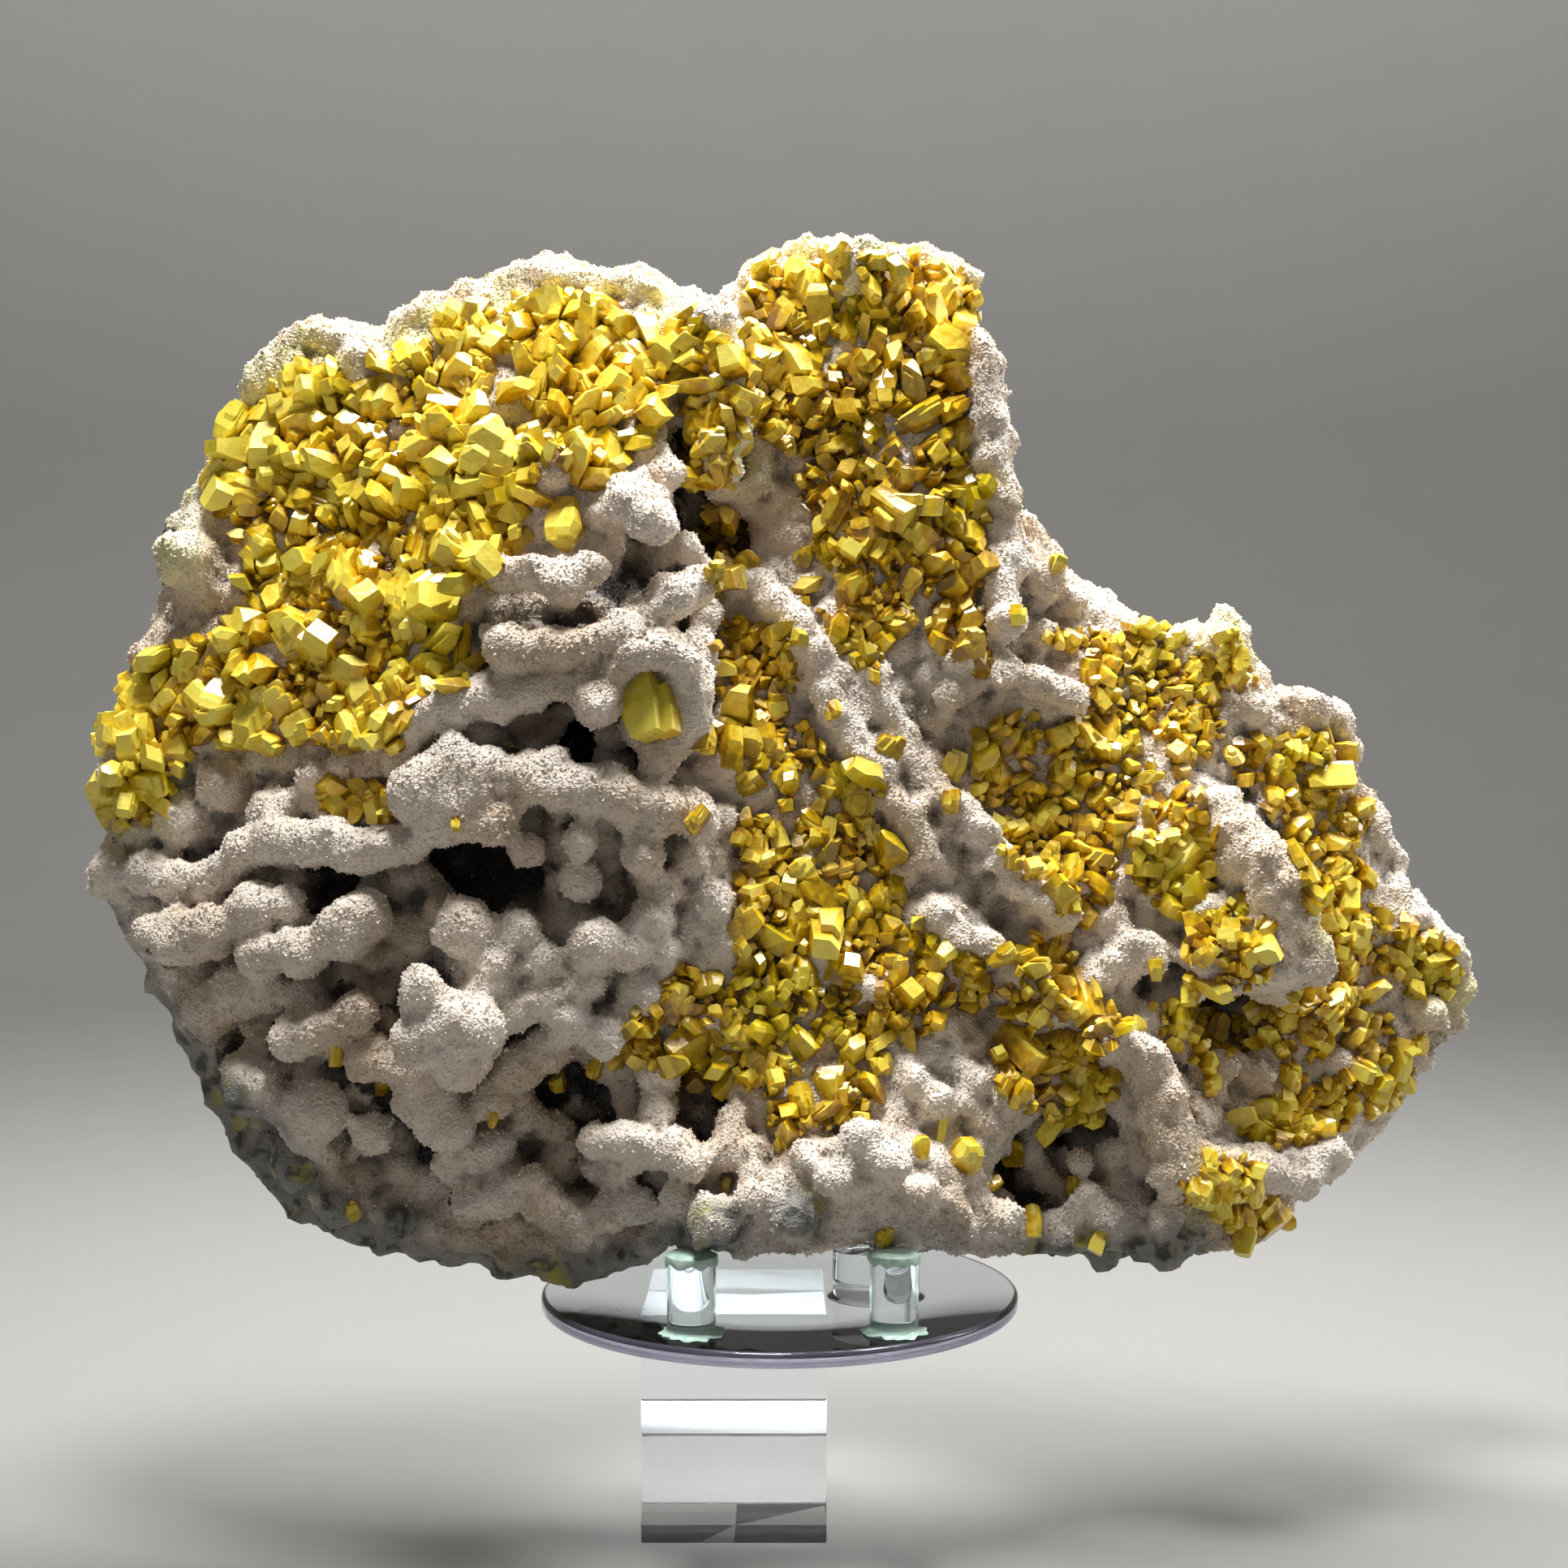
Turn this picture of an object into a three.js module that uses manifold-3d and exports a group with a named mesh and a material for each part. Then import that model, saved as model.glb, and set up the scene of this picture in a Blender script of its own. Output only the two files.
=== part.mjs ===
// Sulfur on aragonite specimen: a lobed plate of stone, grown over with white aragonite knobs and fingers
// and with crusts of yellow sulfur crystals, resting on a clear acrylic stand.
// Millimetres. X runs to the right, Y to the back and Z up. The origin is the centre of the stand's foot.
import * as THREE from 'three';
import { mergeVertices } from 'three/addons/utils/BufferGeometryUtils.js';
import { ConvexGeometry } from 'three/addons/geometries/ConvexGeometry.js';
import Module from 'manifold-3d';

const wasm = await Module();
wasm.setup();

// Driving dimensions of the stand, cut from inch stock
const GAP = 0.3;
const BLOCK_SIDE = 38.1;
const BLOCK_HEIGHT = 22.2;
const BLOCK_BEVEL = 0.5;
const DISC_RADIUS = 50.8;
const DISC_THICKNESS = 3.2;
const DISC_EDGE_ROUND = 0.9;
const DISC_CENTRE_X = 9.4;
const PEG_RADIUS = 4.8;
const PEG_HEIGHT = 14.2;
const POST_RADIUS = 9.1;
const POST_HEIGHT = 10.2;
const COLLAR_FLARE = 1.2;
const COLLAR_HEIGHT = 1.4;
const PUTTY_THICKNESS = 0.8;
const PUTTY_OVERHANG = 0.4;
const PUTTY_TAPER = 0.5;
const PEG_PLACES = { left: [-7.8, -37.6], right: [31.9, -36.4] };
const POST_PLACE = [29.6, -9];
const PEG_SIDES = 12;
const DISC_SIDES = 24;
const DISC_CLEARANCE = 2;
const MERGE_DISTANCE = 1e-4;

// Levels of the stacked stand
const UPPER_BLOCK_FOOT = BLOCK_HEIGHT + GAP;
const DISC_FOOT = UPPER_BLOCK_FOOT + BLOCK_HEIGHT + GAP;
const PEG_FOOT = DISC_FOOT + DISC_THICKNESS + GAP;
const PUTTY_FOOT = PEG_FOOT + PEG_HEIGHT + GAP;

// The stone is described by its front: each place is read on the upright plane Y = 0, as seen from an eye
// in front of the stand, and placed() carries it along the line of sight to its depth.
const EYE = new THREE.Vector3(10.3, -429, 155.9);

// Outline of the stone seen from the front, clockwise from the lower left: x, z and the depth of the rim
const OUTLINE = [
  [-86.8, 55.1, -4], [-96.6, 62.3, -4], [-104.8, 72, -4], [-115, 88, -4], [-122, 102, -4], [-126, 114, -4],
  [-131, 122.6, -4], [-135.6, 134, -4], [-136.5, 143.5, -4], [-134.6, 152, -2], [-133, 162, 0],
  [-133, 173, 0], [-129.4, 185.8, 0], [-123.8, 192, 0], [-124.2, 202, 0], [-122.4, 211.8, 0],
  [-116.5, 218.5, 0], [-112.6, 229.3, 0], [-107.6, 240, 0], [-99, 249.2, 0], [-93.4, 255.9, 0],
  [-88.6, 252.9, 0], [-79.4, 252.6, 0], [-69, 257, 0], [-58, 265, 0], [-40, 267, 0], [-21.5, 265.5, 0],
  [-11.3, 260.4, 0], [-4, 259.7, 4], [1.9, 264, 8], [9, 271.6, 8], [20, 273.2, 8], [30.4, 272, 8],
  [47.2, 270.6, 8], [53, 265, 8], [53, 257, 8], [50.3, 250.7, 8], [52.5, 240, 8], [53.8, 225, 8],
  [58.1, 217.9, 10], [62, 212, 12], [70.2, 204, 14], [75, 197.3, 16], [80.4, 196.9, 16], [88.5, 191.7, 16],
  [99.3, 191.8, 18], [108, 190, 18], [112.5, 185.5, 20], [111.5, 179.8, 20], [117.5, 175.4, 22],
  [128, 173, 22], [134.5, 162, 24], [137.3, 151, 24], [141.6, 135.2, 26], [151.5, 126.2, 26],
  [161.2, 113, 28], [155, 102.6, 28], [144.3, 91.3, 28], [140.3, 82.3, 26], [132, 78, 22], [124.5, 68, 16],
  [112.4, 59, 8], [106, 55.5, 0], [97.5, 54.4, -6], [84, 48.7, -12], [70, 53, -20], [57, 55.5, -30],
  [40, 55.3, -37], [21, 57.6, -38], [2, 54.8, -38], [-13, 56.7, -36], [-22, 49.3, -20], [-36, 46.2, -12],
  [-54, 50.3, -8], [-70, 51.9, -6],
];
const MIDDLE = [0, 157];

// Rings of the stone from the middle of the back over the rim to the middle of the front, as fractions of
// the way from the middle to the outline
const BACK_RINGS = [0, 0.42, 0.7, 0.88, 0.97];
const FRONT_RINGS = [0.975, 0.9, 0.79, 0.66, 0.53, 0.39, 0.22, 0];
const RINGS = [...BACK_RINGS, 1, ...FRONT_RINGS];
const COLUMN_STEPS = [[0.3, 4], [0.6, 2], [1, 1]];
const FRONT_SQUARENESS = 5;
const BACK_SQUARENESS = 3.4;

// Depths of the front at spots spread over it: x, z and depth, most negative nearest the eye
const FRONT_SPOTS = [
  // knobbly lower half of the left block
  [-127, 140, -8], [-112, 120, -22], [-90, 120, -32], [-63, 106, -44], [-50, 125, -38], [-30, 120, -36],
  [-12, 125, -32], [-12, 100, -28], [-92, 90, -26], [-75, 75, -26], [-50, 88, -32], [-50, 65, -24],
  [-28, 68, -34], [-30, 85, -28], [-104, 76, -12], [-70, 58, -12], [-40, 55, -16],
  [-112, 150, -18], [-90, 150, -24], [-65, 155, -36], [-40, 150, -38], [-15, 148, -36], [-25, 163, -22],
  // white column with its upright right edge
  [-48, 172, -34], [-19, 174, -38], [-42, 190, -38], [-20, 192, -39], [-30, 206, -38], [-20, 218, -37],
  [-14, 205, -38], [-16, 232, -32],
  // hollowed face of the upper left, rising to a thin rim
  [-45, 215, -30], [-112, 175, -17], [-90, 180, -22], [-75, 190, -25], [-60, 205, -26], [-80, 215, -17],
  [-100, 205, -11], [-105, 235, -4], [-85, 235, -8], [-60, 235, -14], [-45, 240, -18], [-30, 235, -24],
  [-30, 255, -12], [-55, 255, -6], [-18, 250, -18],
  // tower, set back behind the cleft
  [-4, 205, 2], [-4, 235, -4], [12, 262, -2], [28, 264, -4], [45, 262, -1], [28, 240, -8], [13, 225, -3],
  [40, 225, -11], [48, 240, -5], [28, 205, -11], [42, 205, -12], [16, 205, -4], [45, 190, -12],
  [33, 185, -10],
  // valley that runs down between the left block and the tower
  [4, 182, -12], [10, 160, -16], [-2, 150, -22], [10, 135, -22], [25, 145, -18], [15, 115, -26],
  [35, 120, -22], [-2, 110, -28], [30, 100, -24], [10, 92, -29], [50, 115, -17], [45, 165, -6],
  [52, 140, -10],
  // foot of the middle, over the front pegs
  [-8, 64, -39], [18, 68, -42], [35, 74, -40], [20, 84, -34], [46, 64, -36], [56, 84, -27],
  // right-hand mass, which falls back to the right
  [62, 200, 4], [60, 180, -6], [70, 165, -4], [62, 150, -4], [76, 150, -4], [90, 175, 4], [102, 186, 9],
  [90, 150, -5], [101, 166, 2], [116, 160, 9], [130, 150, 15], [86, 130, -9], [112, 134, -8],
  [110, 118, -10], [109, 104, 2], [130, 124, 9], [150, 117, 18], [70, 116, -10], [86, 98, -15],
  [92, 84, -18], [74, 92, -17], [80, 80, -6], [66, 71, -16], [110, 90, -5], [130, 95, 7], [146, 104, 15],
  [105, 73, -15], [120, 76, -5], [86, 60, -16], [104, 60, -11], [132, 86, 7],
];

// Depths of the rough back in the same way
const BACK_SPOTS = [
  [-60, 150, 24], [-25, 175, 19], [0, 140, 26], [60, 140, 27], [30, 180, 21], [120, 115, 37], [95, 150, 29],
  [20, 240, 27], [-20, 235, 19], [-70, 225, 22], [-105, 190, 15], [-110, 140, 16], [-30, 110, 19],
  [0, 80, 12], [-70, 90, 13], [50, 90, 19], [90, 80, 25], [145, 110, 39],
];
const SPOT_SOFTNESS = 30;

// Aragonite fingers: knobbly branches lying over the front, each a line of x, z and radius
const FINGERS = [
  [[-73.6, 168, 4.6], [-56, 174.5, 5], [-33, 178, 5]],
  [[-69, 152, 6.8], [-58, 157, 6]],
  [[-56, 160.5, 5.6], [-37, 155, 5.6], [-9, 148, 5.2]],
  [[-66, 146, 4.8], [-53, 147, 5]],
  [[-109, 138, 5], [-98, 143.5, 5.6], [-70, 142, 5]],
  [[-134, 136, 5], [-114, 136, 5.6]],
  [[-121, 122, 5.8], [-99, 130, 6]],
  [[-101, 119, 5.8], [-80, 126.5, 6]],
  [[-96, 101.6, 5], [-82.5, 108, 6]],
  [[-80, 97, 6], [-61, 82, 6]],
  [[-57, 66, 5], [-45, 70, 5.2], [-35, 62, 5.2]],
  [[-31, 79, 5.2], [-10, 76, 5.2]],
  [[-57, 198, 5.4], [-28, 197, 5.6]],
  [[-53, 188, 5.4], [-32, 187.5, 5.6], [-12, 198, 5]],
  [[58, 180, 4.8], [72, 174, 5]],
  [[88, 120, 5.6], [75, 113, 5]],
  [[80, 101, 6], [90, 94, 7], [96, 73, 6.4]],
  [[98, 74, 5.4], [126, 76, 5.2]],
];

// Blade-like ridges that run down between the valleys, in the same terms
const RIDGES = [
  [[-3, 200, 4.6], [14, 189, 5.4], [40, 142, 5.2]],
  [[30, 180, 4.6], [41, 154, 5], [70, 127, 5]],
  [[44, 128, 5], [68, 107, 5]],
  [[52, 250, 4], [56, 208, 5], [58, 186, 4.8]],
  [[112, 181, 4.6], [130, 170, 4.8], [140, 138, 5], [159, 113, 5]],
];

// Rounded aragonite knobs: x, z and radius
const KNOBS = [
  [-64, 107, 10.4], [-55, 101, 8.4], [-55, 125, 7.4], [-38, 142, 5.8], [-19.5, 139, 5.8],
  [-31, 126, 6.8], [-28, 106, 8], [-90, 84, 9], [-105, 95, 7],
  [-87, 69, 7.4], [-22, 215, 7.4], [27, 74, 9], [1, 64, 8], [46, 177, 6.4],
  [64, 195, 8], [105, 189, 6.4], [115, 112, 6.8], [64, 62, 7.4], [92, 58, 9], [28, 268, 6.4],
  [-118, 204, 7.4], [-129, 160, 7.4], [86, 144, 7.4],
];
const BALL_STRETCH = 1.14;
const BALL_SQUARE_LEVEL = 0.5;
const BALL_TURN_PER_X = 0.7;
const BALL_TURN_PER_Z = 0.9;
const KNOB_SINK = 0.12;
const FINGER_LIFT = 0.3;
const RIDGE_LIFT = 0.5;

// The eye-like boss with its ring of aragonite, and the lobe that overhangs the lower right
const BOSS = [[-25, 177, 5.2], [-18, 184, 5.4], [-9, 174, 5.4], [-16, 164, 5.6]];
const LOBE = [[104, 152, 5.4], [117, 136, 7.4], [121, 119, 7], [101, 115, 6.4]];

// The small fin that stands in the cleft between the left block and the tower
const FIN = [[-6, 254, 4.4], [-2, 238, 6.6], [-3, 223, 5.6]];
const FIN_DEPTH = -17;

// Dark hollows between the fingers: x, z, half width, half height and how far the hollow is cut in
const HOLLOWS = [
  [-60, 137, 10, 4, 16], [-98, 101, 8, 6, 14], [-118, 111, 4.4, 5.4, 10], [-24, 163, 10, 4.4, 14],
  [-34, 83, 7, 5, 14], [-9, 89, 5, 6, 14], [77, 80, 7, 6, 16], [66, 71, 7, 6, 14], [109, 104, 9, 6, 14],
  [-66, 69, 6, 5.4, 10],
];
const HOLLOW_BITE = 0.35;
const HOLLOW_FULLNESS = 1.08;

// The cleft beside the white column: its outline and the depth of its floor
const CLEFT = [
  [-10.5, 254], [-7.5, 250], [-8, 232], [-6.5, 216], [2, 214], [3, 205], [-1, 199], [-3, 184],
  [-5, 172], [-9, 165], [-5.5, 188], [-8, 202], [-12, 214], [-14.5, 226], [-12.5, 236],
];
const CLEFT_FLOOR = 12;
const SIGHT_START = -70;

// Sulfur crusts: each a patch of the front, the typical half width of its crystals and its largest
// crystals as x, z, half width and how slender they are
const CRUSTS = {
  sulfur_upper_left: {
    patch: [
      [-118, 214], [-106, 240], [-98, 247], [-72, 250], [-48, 262], [-18, 252], [-24, 224], [-44, 228],
      [-50, 206], [-66, 186], [-60, 178], [-76, 164], [-130, 164], [-126, 184], [-106, 190],
    ],
    large: [
      [-53, 226, 10, 0.8], [-64, 201, 9, 0.8], [-94.8, 189.5, 9, 0.8], [-104, 173, 9, 0.9],
      [-78, 173, 9, 0.9], [-82, 219, 8, 0.8], [-29, 233, 8, 1.1],
    ],
  },
  sulfur_tower: {
    patch: [
      [4, 258], [10, 267], [48, 264], [50, 232], [54, 210], [50, 182], [33, 184], [20, 196], [17, 222],
      [6, 236],
    ],
    large: [[39.4, 234.7, 9, 0.8], [38.6, 210, 9, 0.9], [27, 198, 9, 0.9], [15, 244, 8, 1]],
  },
  sulfur_valley: {
    patch: [
      [0, 190], [13, 188], [14, 168], [28, 158], [37, 126], [56, 115], [30, 97], [26, 84], [8, 86],
      [-20, 94], [-16, 112], [1, 116], [2, 156],
    ],
    large: [[7, 166, 9, 1], [23, 150, 9, 0.8], [20, 93, 9, 0.9], [-10, 105, 9, 0.9], [8, 130, 9, 0.9]],
  },
  sulfur_right: {
    patch: [[68, 190], [108, 190], [100, 156], [98, 134], [70, 129], [55, 148], [58, 168], [74, 172]],
    large: [[94, 139, 9, 0.8], [70, 158.6, 9, 0.9], [93, 176, 9, 0.8]],
  },
  sulfur_right_rim: {
    patch: [[111, 164], [124, 164], [132, 146], [124, 130], [112, 152]],
    large: [],
  },
  sulfur_far_right: {
    patch: [[128, 127], [150, 122], [151, 112], [128, 116]],
    large: [],
  },
  sulfur_lower_right: {
    patch: [[128, 110], [140, 106], [140, 88], [112, 80], [118, 98]],
    large: [[133, 94, 8, 0.9]],
  },
  sulfur_middle_low: {
    patch: [[58, 102], [78, 92], [78, 85], [62, 90]],
    large: [],
  },
};
const CRUST_THICKNESS = 2;
const CRUST_ROOT = 8;
const CRYSTAL_SPACING = 20;
const CRYSTAL_ROW_SPACING = (CRYSTAL_SPACING * Math.sqrt(3)) / 2;
const CRYSTAL_JITTER = 1.6;
const CRYSTAL_HALF_WIDTH = 9.8;
const HALF_WIDTH_JITTER = 1;
const SLENDERNESS_JITTER = 0.25;
const CLEAR_OF_LARGE = 0.8;
const CRYSTAL_RISE = 1.05;
const CRYSTAL_ROOT = 0.1;
const CRYSTAL_FLATNESS = 0.82;
const CRYSTAL_CUT = 0.45;
const CRYSTAL_TURN_TO_FRONT = 0.4;
const CRYSTAL_LEAN = [0.7, 0.3, 0.7];

// Crystals that stand alone on the aragonite: x, z, half width and how slender they are
const LONE_CRYSTALS = {
  sulfur_crystal_column: [-36.7, 212, 6.4, 1.1],
  sulfur_crystal_eye: [-19, 174, 6, 0.8],
  sulfur_crystal_left_rim: [-126, 154, 6.4, 0.9],
  sulfur_crystal_hollow: [-82, 153, 5.6, 0.8],
  sulfur_crystal_cleft: [-7, 166, 5.6, 1],
  sulfur_crystal_fin_top: [-5, 242, 6, 0.9],
  sulfur_crystal_fin_foot: [-3, 229, 6.4, 0.9],
  sulfur_crystal_pocket: [70, 120, 7.4, 0.9],
  sulfur_crystal_ledge: [104, 124, 6.8, 0.9],
  sulfur_crystal_corner: [106, 66, 6.8, 1],
  sulfur_crystal_foot: [49, 77, 5.6, 1],
};

// Finishes of the pieces
const ARAGONITE = new THREE.MeshStandardMaterial({ color: '#cfc6b8', roughness: 0.85, metalness: 0 });
const SULFUR = new THREE.MeshStandardMaterial({ color: '#d6b92c', roughness: 0.3, metalness: 0 });
const ACRYLIC = new THREE.MeshStandardMaterial({ color: '#dde6ea', roughness: 0.05, metalness: 0 });
const PUTTY = new THREE.MeshStandardMaterial({ color: '#b9cfc6', roughness: 0.6, metalness: 0 });

const specimen = new THREE.Group();

THREE.MathUtils.seededRandom(7);

function spread(reach) {
  return (THREE.MathUtils.seededRandom() * 2 - 1) * reach;
}

function placed(x, z, y) {
  const reach = (y - EYE.y) / -EYE.y;
  return new THREE.Vector3(EYE.x + (x - EYE.x) * reach, y, EYE.z + (z - EYE.z) * reach);
}

function depthAt(spots, x, z) {
  let weights = 0;
  let sum = 0;
  for (const [spotX, spotZ, depth] of spots) {
    const weight = 1 / ((x - spotX) ** 2 + (z - spotZ) ** 2 + SPOT_SOFTNESS) ** 2;
    weights += weight;
    sum += weight * depth;
  }
  return sum / weights;
}

// Closed solid of a three.js geometry
function solidOf(geometry) {
  const bare = geometry.clone();
  bare.deleteAttribute('normal');
  bare.deleteAttribute('uv');
  const merged = mergeVertices(bare, MERGE_DISTANCE);
  return new wasm.Manifold(new wasm.Mesh({
    numProp: 3,
    vertProperties: new Float32Array(merged.attributes.position.array),
    triVerts: new Uint32Array(merged.index.array),
  }));
}

function geometryOf(solid) {
  const mesh = solid.getMesh();
  const geometry = new THREE.BufferGeometry();
  geometry.setAttribute('position', new THREE.BufferAttribute(new Float32Array(mesh.vertProperties), 3));
  geometry.setIndex(new THREE.BufferAttribute(new Uint32Array(mesh.triVerts), 1));
  geometry.computeVertexNormals();
  return geometry;
}

function joined(solids) {
  return solids.reduce((whole, solid) => whole.add(solid));
}

function addPiece(name, geometry, material, x = 0, y = 0, z = 0) {
  const mesh = new THREE.Mesh(geometry, material);
  mesh.name = name;
  mesh.position.set(x, y, z);
  specimen.add(mesh);
  return mesh;
}

// The body of the stone: a sphere drawn out to the outline, with its front and back at their own depths.
// Towards the middle its columns merge, so that its faces keep their size.
function stoneBody(grow) {
  const sphere = new THREE.SphereGeometry(1, OUTLINE.length, RINGS.length - 1);
  const position = sphere.attributes.position;
  for (let i = 0; i < position.count; i += 1) {
    const row = Math.round((Math.acos(position.getY(i)) / Math.PI) * (RINGS.length - 1));
    const turn = Math.atan2(position.getZ(i), position.getX(i)) / (2 * Math.PI);
    const column = (2 * OUTLINE.length - Math.round(turn * OUTLINE.length)) % OUTLINE.length;
    const ring = RINGS[row];
    const [, step] = COLUMN_STEPS.find(([limit]) => ring <= limit);
    const [rimX, rimZ, rimDepth] = OUTLINE[Math.floor(column / step) * step];
    const x = MIDDLE[0] + (rimX - MIDDLE[0]) * ring;
    const z = MIDDLE[1] + (rimZ - MIDDLE[1]) * ring;
    const isBack = row < BACK_RINGS.length;
    const power = isBack ? BACK_SQUARENESS : FRONT_SQUARENESS;
    const face = depthAt(isBack ? BACK_SPOTS : FRONT_SPOTS, x, z);
    const rimShare = 1 - (1 - ring ** power) ** (1 / power);
    const place = placed(x, z, face + (rimDepth - face) * rimShare);
    position.setXYZ(i, place.x, place.y, place.z);
  }
  sphere.deleteAttribute('uv');
  sphere.deleteAttribute('normal');
  const merged = mergeVertices(sphere, 1e-3);
  const corners = merged.index.array;
  const kept = [];
  for (let i = 0; i < corners.length; i += 3) {
    const [a, b, c] = corners.slice(i, i + 3);
    if (a !== b && b !== c && c !== a) {
      kept.push(a, b, c);
    }
  }
  merged.setIndex(kept);
  merged.computeVertexNormals();
  const place = merged.attributes.position;
  const normal = merged.attributes.normal;
  for (let i = 0; i < place.count; i += 1) {
    place.setXYZ(
      i,
      place.getX(i) + normal.getX(i) * grow,
      place.getY(i) + normal.getY(i) * grow,
      place.getZ(i) + normal.getZ(i) * grow,
    );
  }
  return solidOf(merged);
}

// Corners of a rough ball, seen at x, z with a given radius and depth: two squares turned by an eighth
function ballCorners(x, z, radius, depth, grow) {
  const reach = (depth - EYE.y) / -EYE.y;
  const size = radius * reach * BALL_STRETCH + grow;
  const centre = placed(x, z, depth);
  const corners = [];
  for (let i = 0; i < 8; i += 1) {
    const isBack = i % 2;
    const turn = (i / 8) * 2 * Math.PI + x * BALL_TURN_PER_X + z * BALL_TURN_PER_Z;
    const level = (isBack ? 1 : -1) * size * BALL_SQUARE_LEVEL;
    const out = size * Math.sqrt(1 - BALL_SQUARE_LEVEL ** 2);
    corners.push(new THREE.Vector3(Math.cos(turn) * out, level, Math.sin(turn) * out).add(centre));
  }
  return corners;
}

// A branch: rough balls joined pair by pair along its line, at given depths
function branch(line, depths, grow) {
  const balls = line.map(([x, z, radius], i) => ballCorners(x, z, radius, depths[i], grow));
  const pairs = balls.slice(1).map((ball, i) => solidOf(new ConvexGeometry([...balls[i], ...ball])));
  return joined(pairs);
}

function branchOnFront(line, lift, grow) {
  const depths = line.map(([x, z, radius]) => depthAt(FRONT_SPOTS, x, z) - radius * lift);
  return branch(line, depths, grow);
}

function knob([x, z, radius], grow) {
  const depth = depthAt(FRONT_SPOTS, x, z) + radius * KNOB_SINK;
  return solidOf(new ConvexGeometry(ballCorners(x, z, radius, depth, grow)));
}

// A hollow: a blunt ball that bites into the front
function hollow([x, z, halfWidth, halfHeight, cut], grow) {
  const depth = depthAt(FRONT_SPOTS, x, z) - cut * HOLLOW_BITE;
  const ball = new THREE.IcosahedronGeometry(HOLLOW_FULLNESS, 0);
  ball.scale(halfWidth - grow, cut - grow, halfHeight - grow);
  const centre = placed(x, z, depth);
  ball.translate(centre.x, centre.y, centre.z);
  return solidOf(ball);
}

// A prism drawn along the lines of sight, from in front of the stone to a given depth
function sightPrism(outline, floor) {
  const shape = new THREE.Shape(outline.map(([x, z]) => new THREE.Vector2(x, z)));
  const prism = new THREE.ExtrudeGeometry(shape, { depth: 1, bevelEnabled: false });
  const position = prism.attributes.position;
  for (let i = 0; i < position.count; i += 1) {
    const depth = position.getZ(i) > 0.5 ? SIGHT_START : floor;
    const place = placed(position.getX(i), position.getY(i), depth);
    position.setXYZ(i, place.x, place.y, place.z);
  }
  return solidOf(prism);
}

// The whole matrix. A grown copy, a gap larger all over, is what the crusts are cut by.
function matrix(grow) {
  const body = stoneBody(grow).subtract(sightPrism(CLEFT, CLEFT_FLOOR - grow));
  const bitten = HOLLOWS.reduce((whole, place) => whole.subtract(hollow(place, grow)), body);
  const fin = branch(FIN, FIN.map(() => FIN_DEPTH), grow);
  const boss = branchOnFront([...BOSS, BOSS[0]], FINGER_LIFT, grow);
  const lobe = branchOnFront(LOBE, RIDGE_LIFT, grow);
  return joined([
    bitten,
    fin,
    boss,
    lobe,
    ...FINGERS.map((line) => branchOnFront(line, FINGER_LIFT, grow)),
    ...RIDGES.map((line) => branchOnFront(line, RIDGE_LIFT, grow)),
    ...KNOBS.map((place) => knob(place, grow)),
  ]);
}

// Space that the stand keeps free of the stone: its pegs, post and disc, a gap larger all over
function standSpace() {
  const posts = [
    ...Object.values(PEG_PLACES).map((place) => [place, PEG_RADIUS + PUTTY_OVERHANG, PUTTY_FOOT + PUTTY_THICKNESS]),
    [POST_PLACE, POST_RADIUS, PEG_FOOT + POST_HEIGHT],
  ];
  const columns = posts.map(([[x, y], radius, top]) => {
    const column = new THREE.CylinderGeometry(radius + GAP, radius + GAP, top + GAP, PEG_SIDES);
    column.rotateX(Math.PI / 2);
    column.translate(x, y, (top + GAP) / 2);
    return solidOf(column);
  });
  const discTop = DISC_FOOT + DISC_THICKNESS + GAP;
  const discRadius = DISC_RADIUS + DISC_CLEARANCE;
  const disc = new THREE.CylinderGeometry(discRadius, discRadius, discTop, DISC_SIDES);
  disc.rotateX(Math.PI / 2);
  disc.translate(DISC_CENTRE_X, 0, discTop / 2);
  return joined([...columns, solidOf(disc)]);
}

// Sulfur crystal: the upper half of a rhombic double pyramid with its foot in the stone, either pointed or
// with its tip cut flat
function crystalGeometry(halfWidth, slenderness, cut) {
  const tall = halfWidth * CRYSTAL_RISE * slenderness;
  const deep = halfWidth * CRYSTAL_FLATNESS;
  const root = -tall * CRYSTAL_ROOT;
  const top = tall * (1 - cut);
  const corners = [[halfWidth, 0, root], [-halfWidth, 0, root], [0, deep, root], [0, -deep, root]];
  if (cut === 0) {
    corners.push([0, 0, top]);
  } else {
    corners.push([halfWidth * cut, 0, top], [-halfWidth * cut, 0, top]);
    corners.push([0, deep * cut, top], [0, -deep * cut, top]);
  }
  return new ConvexGeometry(corners.map((corner) => new THREE.Vector3(...corner)));
}

const probe = new THREE.Raycaster();

// A crystal that grows from the surface seen at x, z, leaning at random from the surface's own direction
function crystalOn(surface, x, z, halfWidth, slenderness, cut = CRYSTAL_CUT) {
  probe.set(EYE, placed(x, z, 0).sub(EYE).normalize());
  const [hit] = probe.intersectObject(surface);
  if (!hit) {
    return null;
  }
  const outward = hit.face.normal.clone().lerp(new THREE.Vector3(0, -1, 0), CRYSTAL_TURN_TO_FRONT);
  outward.add(new THREE.Vector3(...CRYSTAL_LEAN.map(spread))).normalize();
  const crystal = crystalGeometry(halfWidth, slenderness, cut);
  crystal.rotateZ(spread(Math.PI));
  crystal.applyQuaternion(new THREE.Quaternion().setFromUnitVectors(new THREE.Vector3(0, 0, 1), outward));
  crystal.translate(hit.point.x, hit.point.y, hit.point.z);
  return solidOf(crystal);
}

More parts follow.
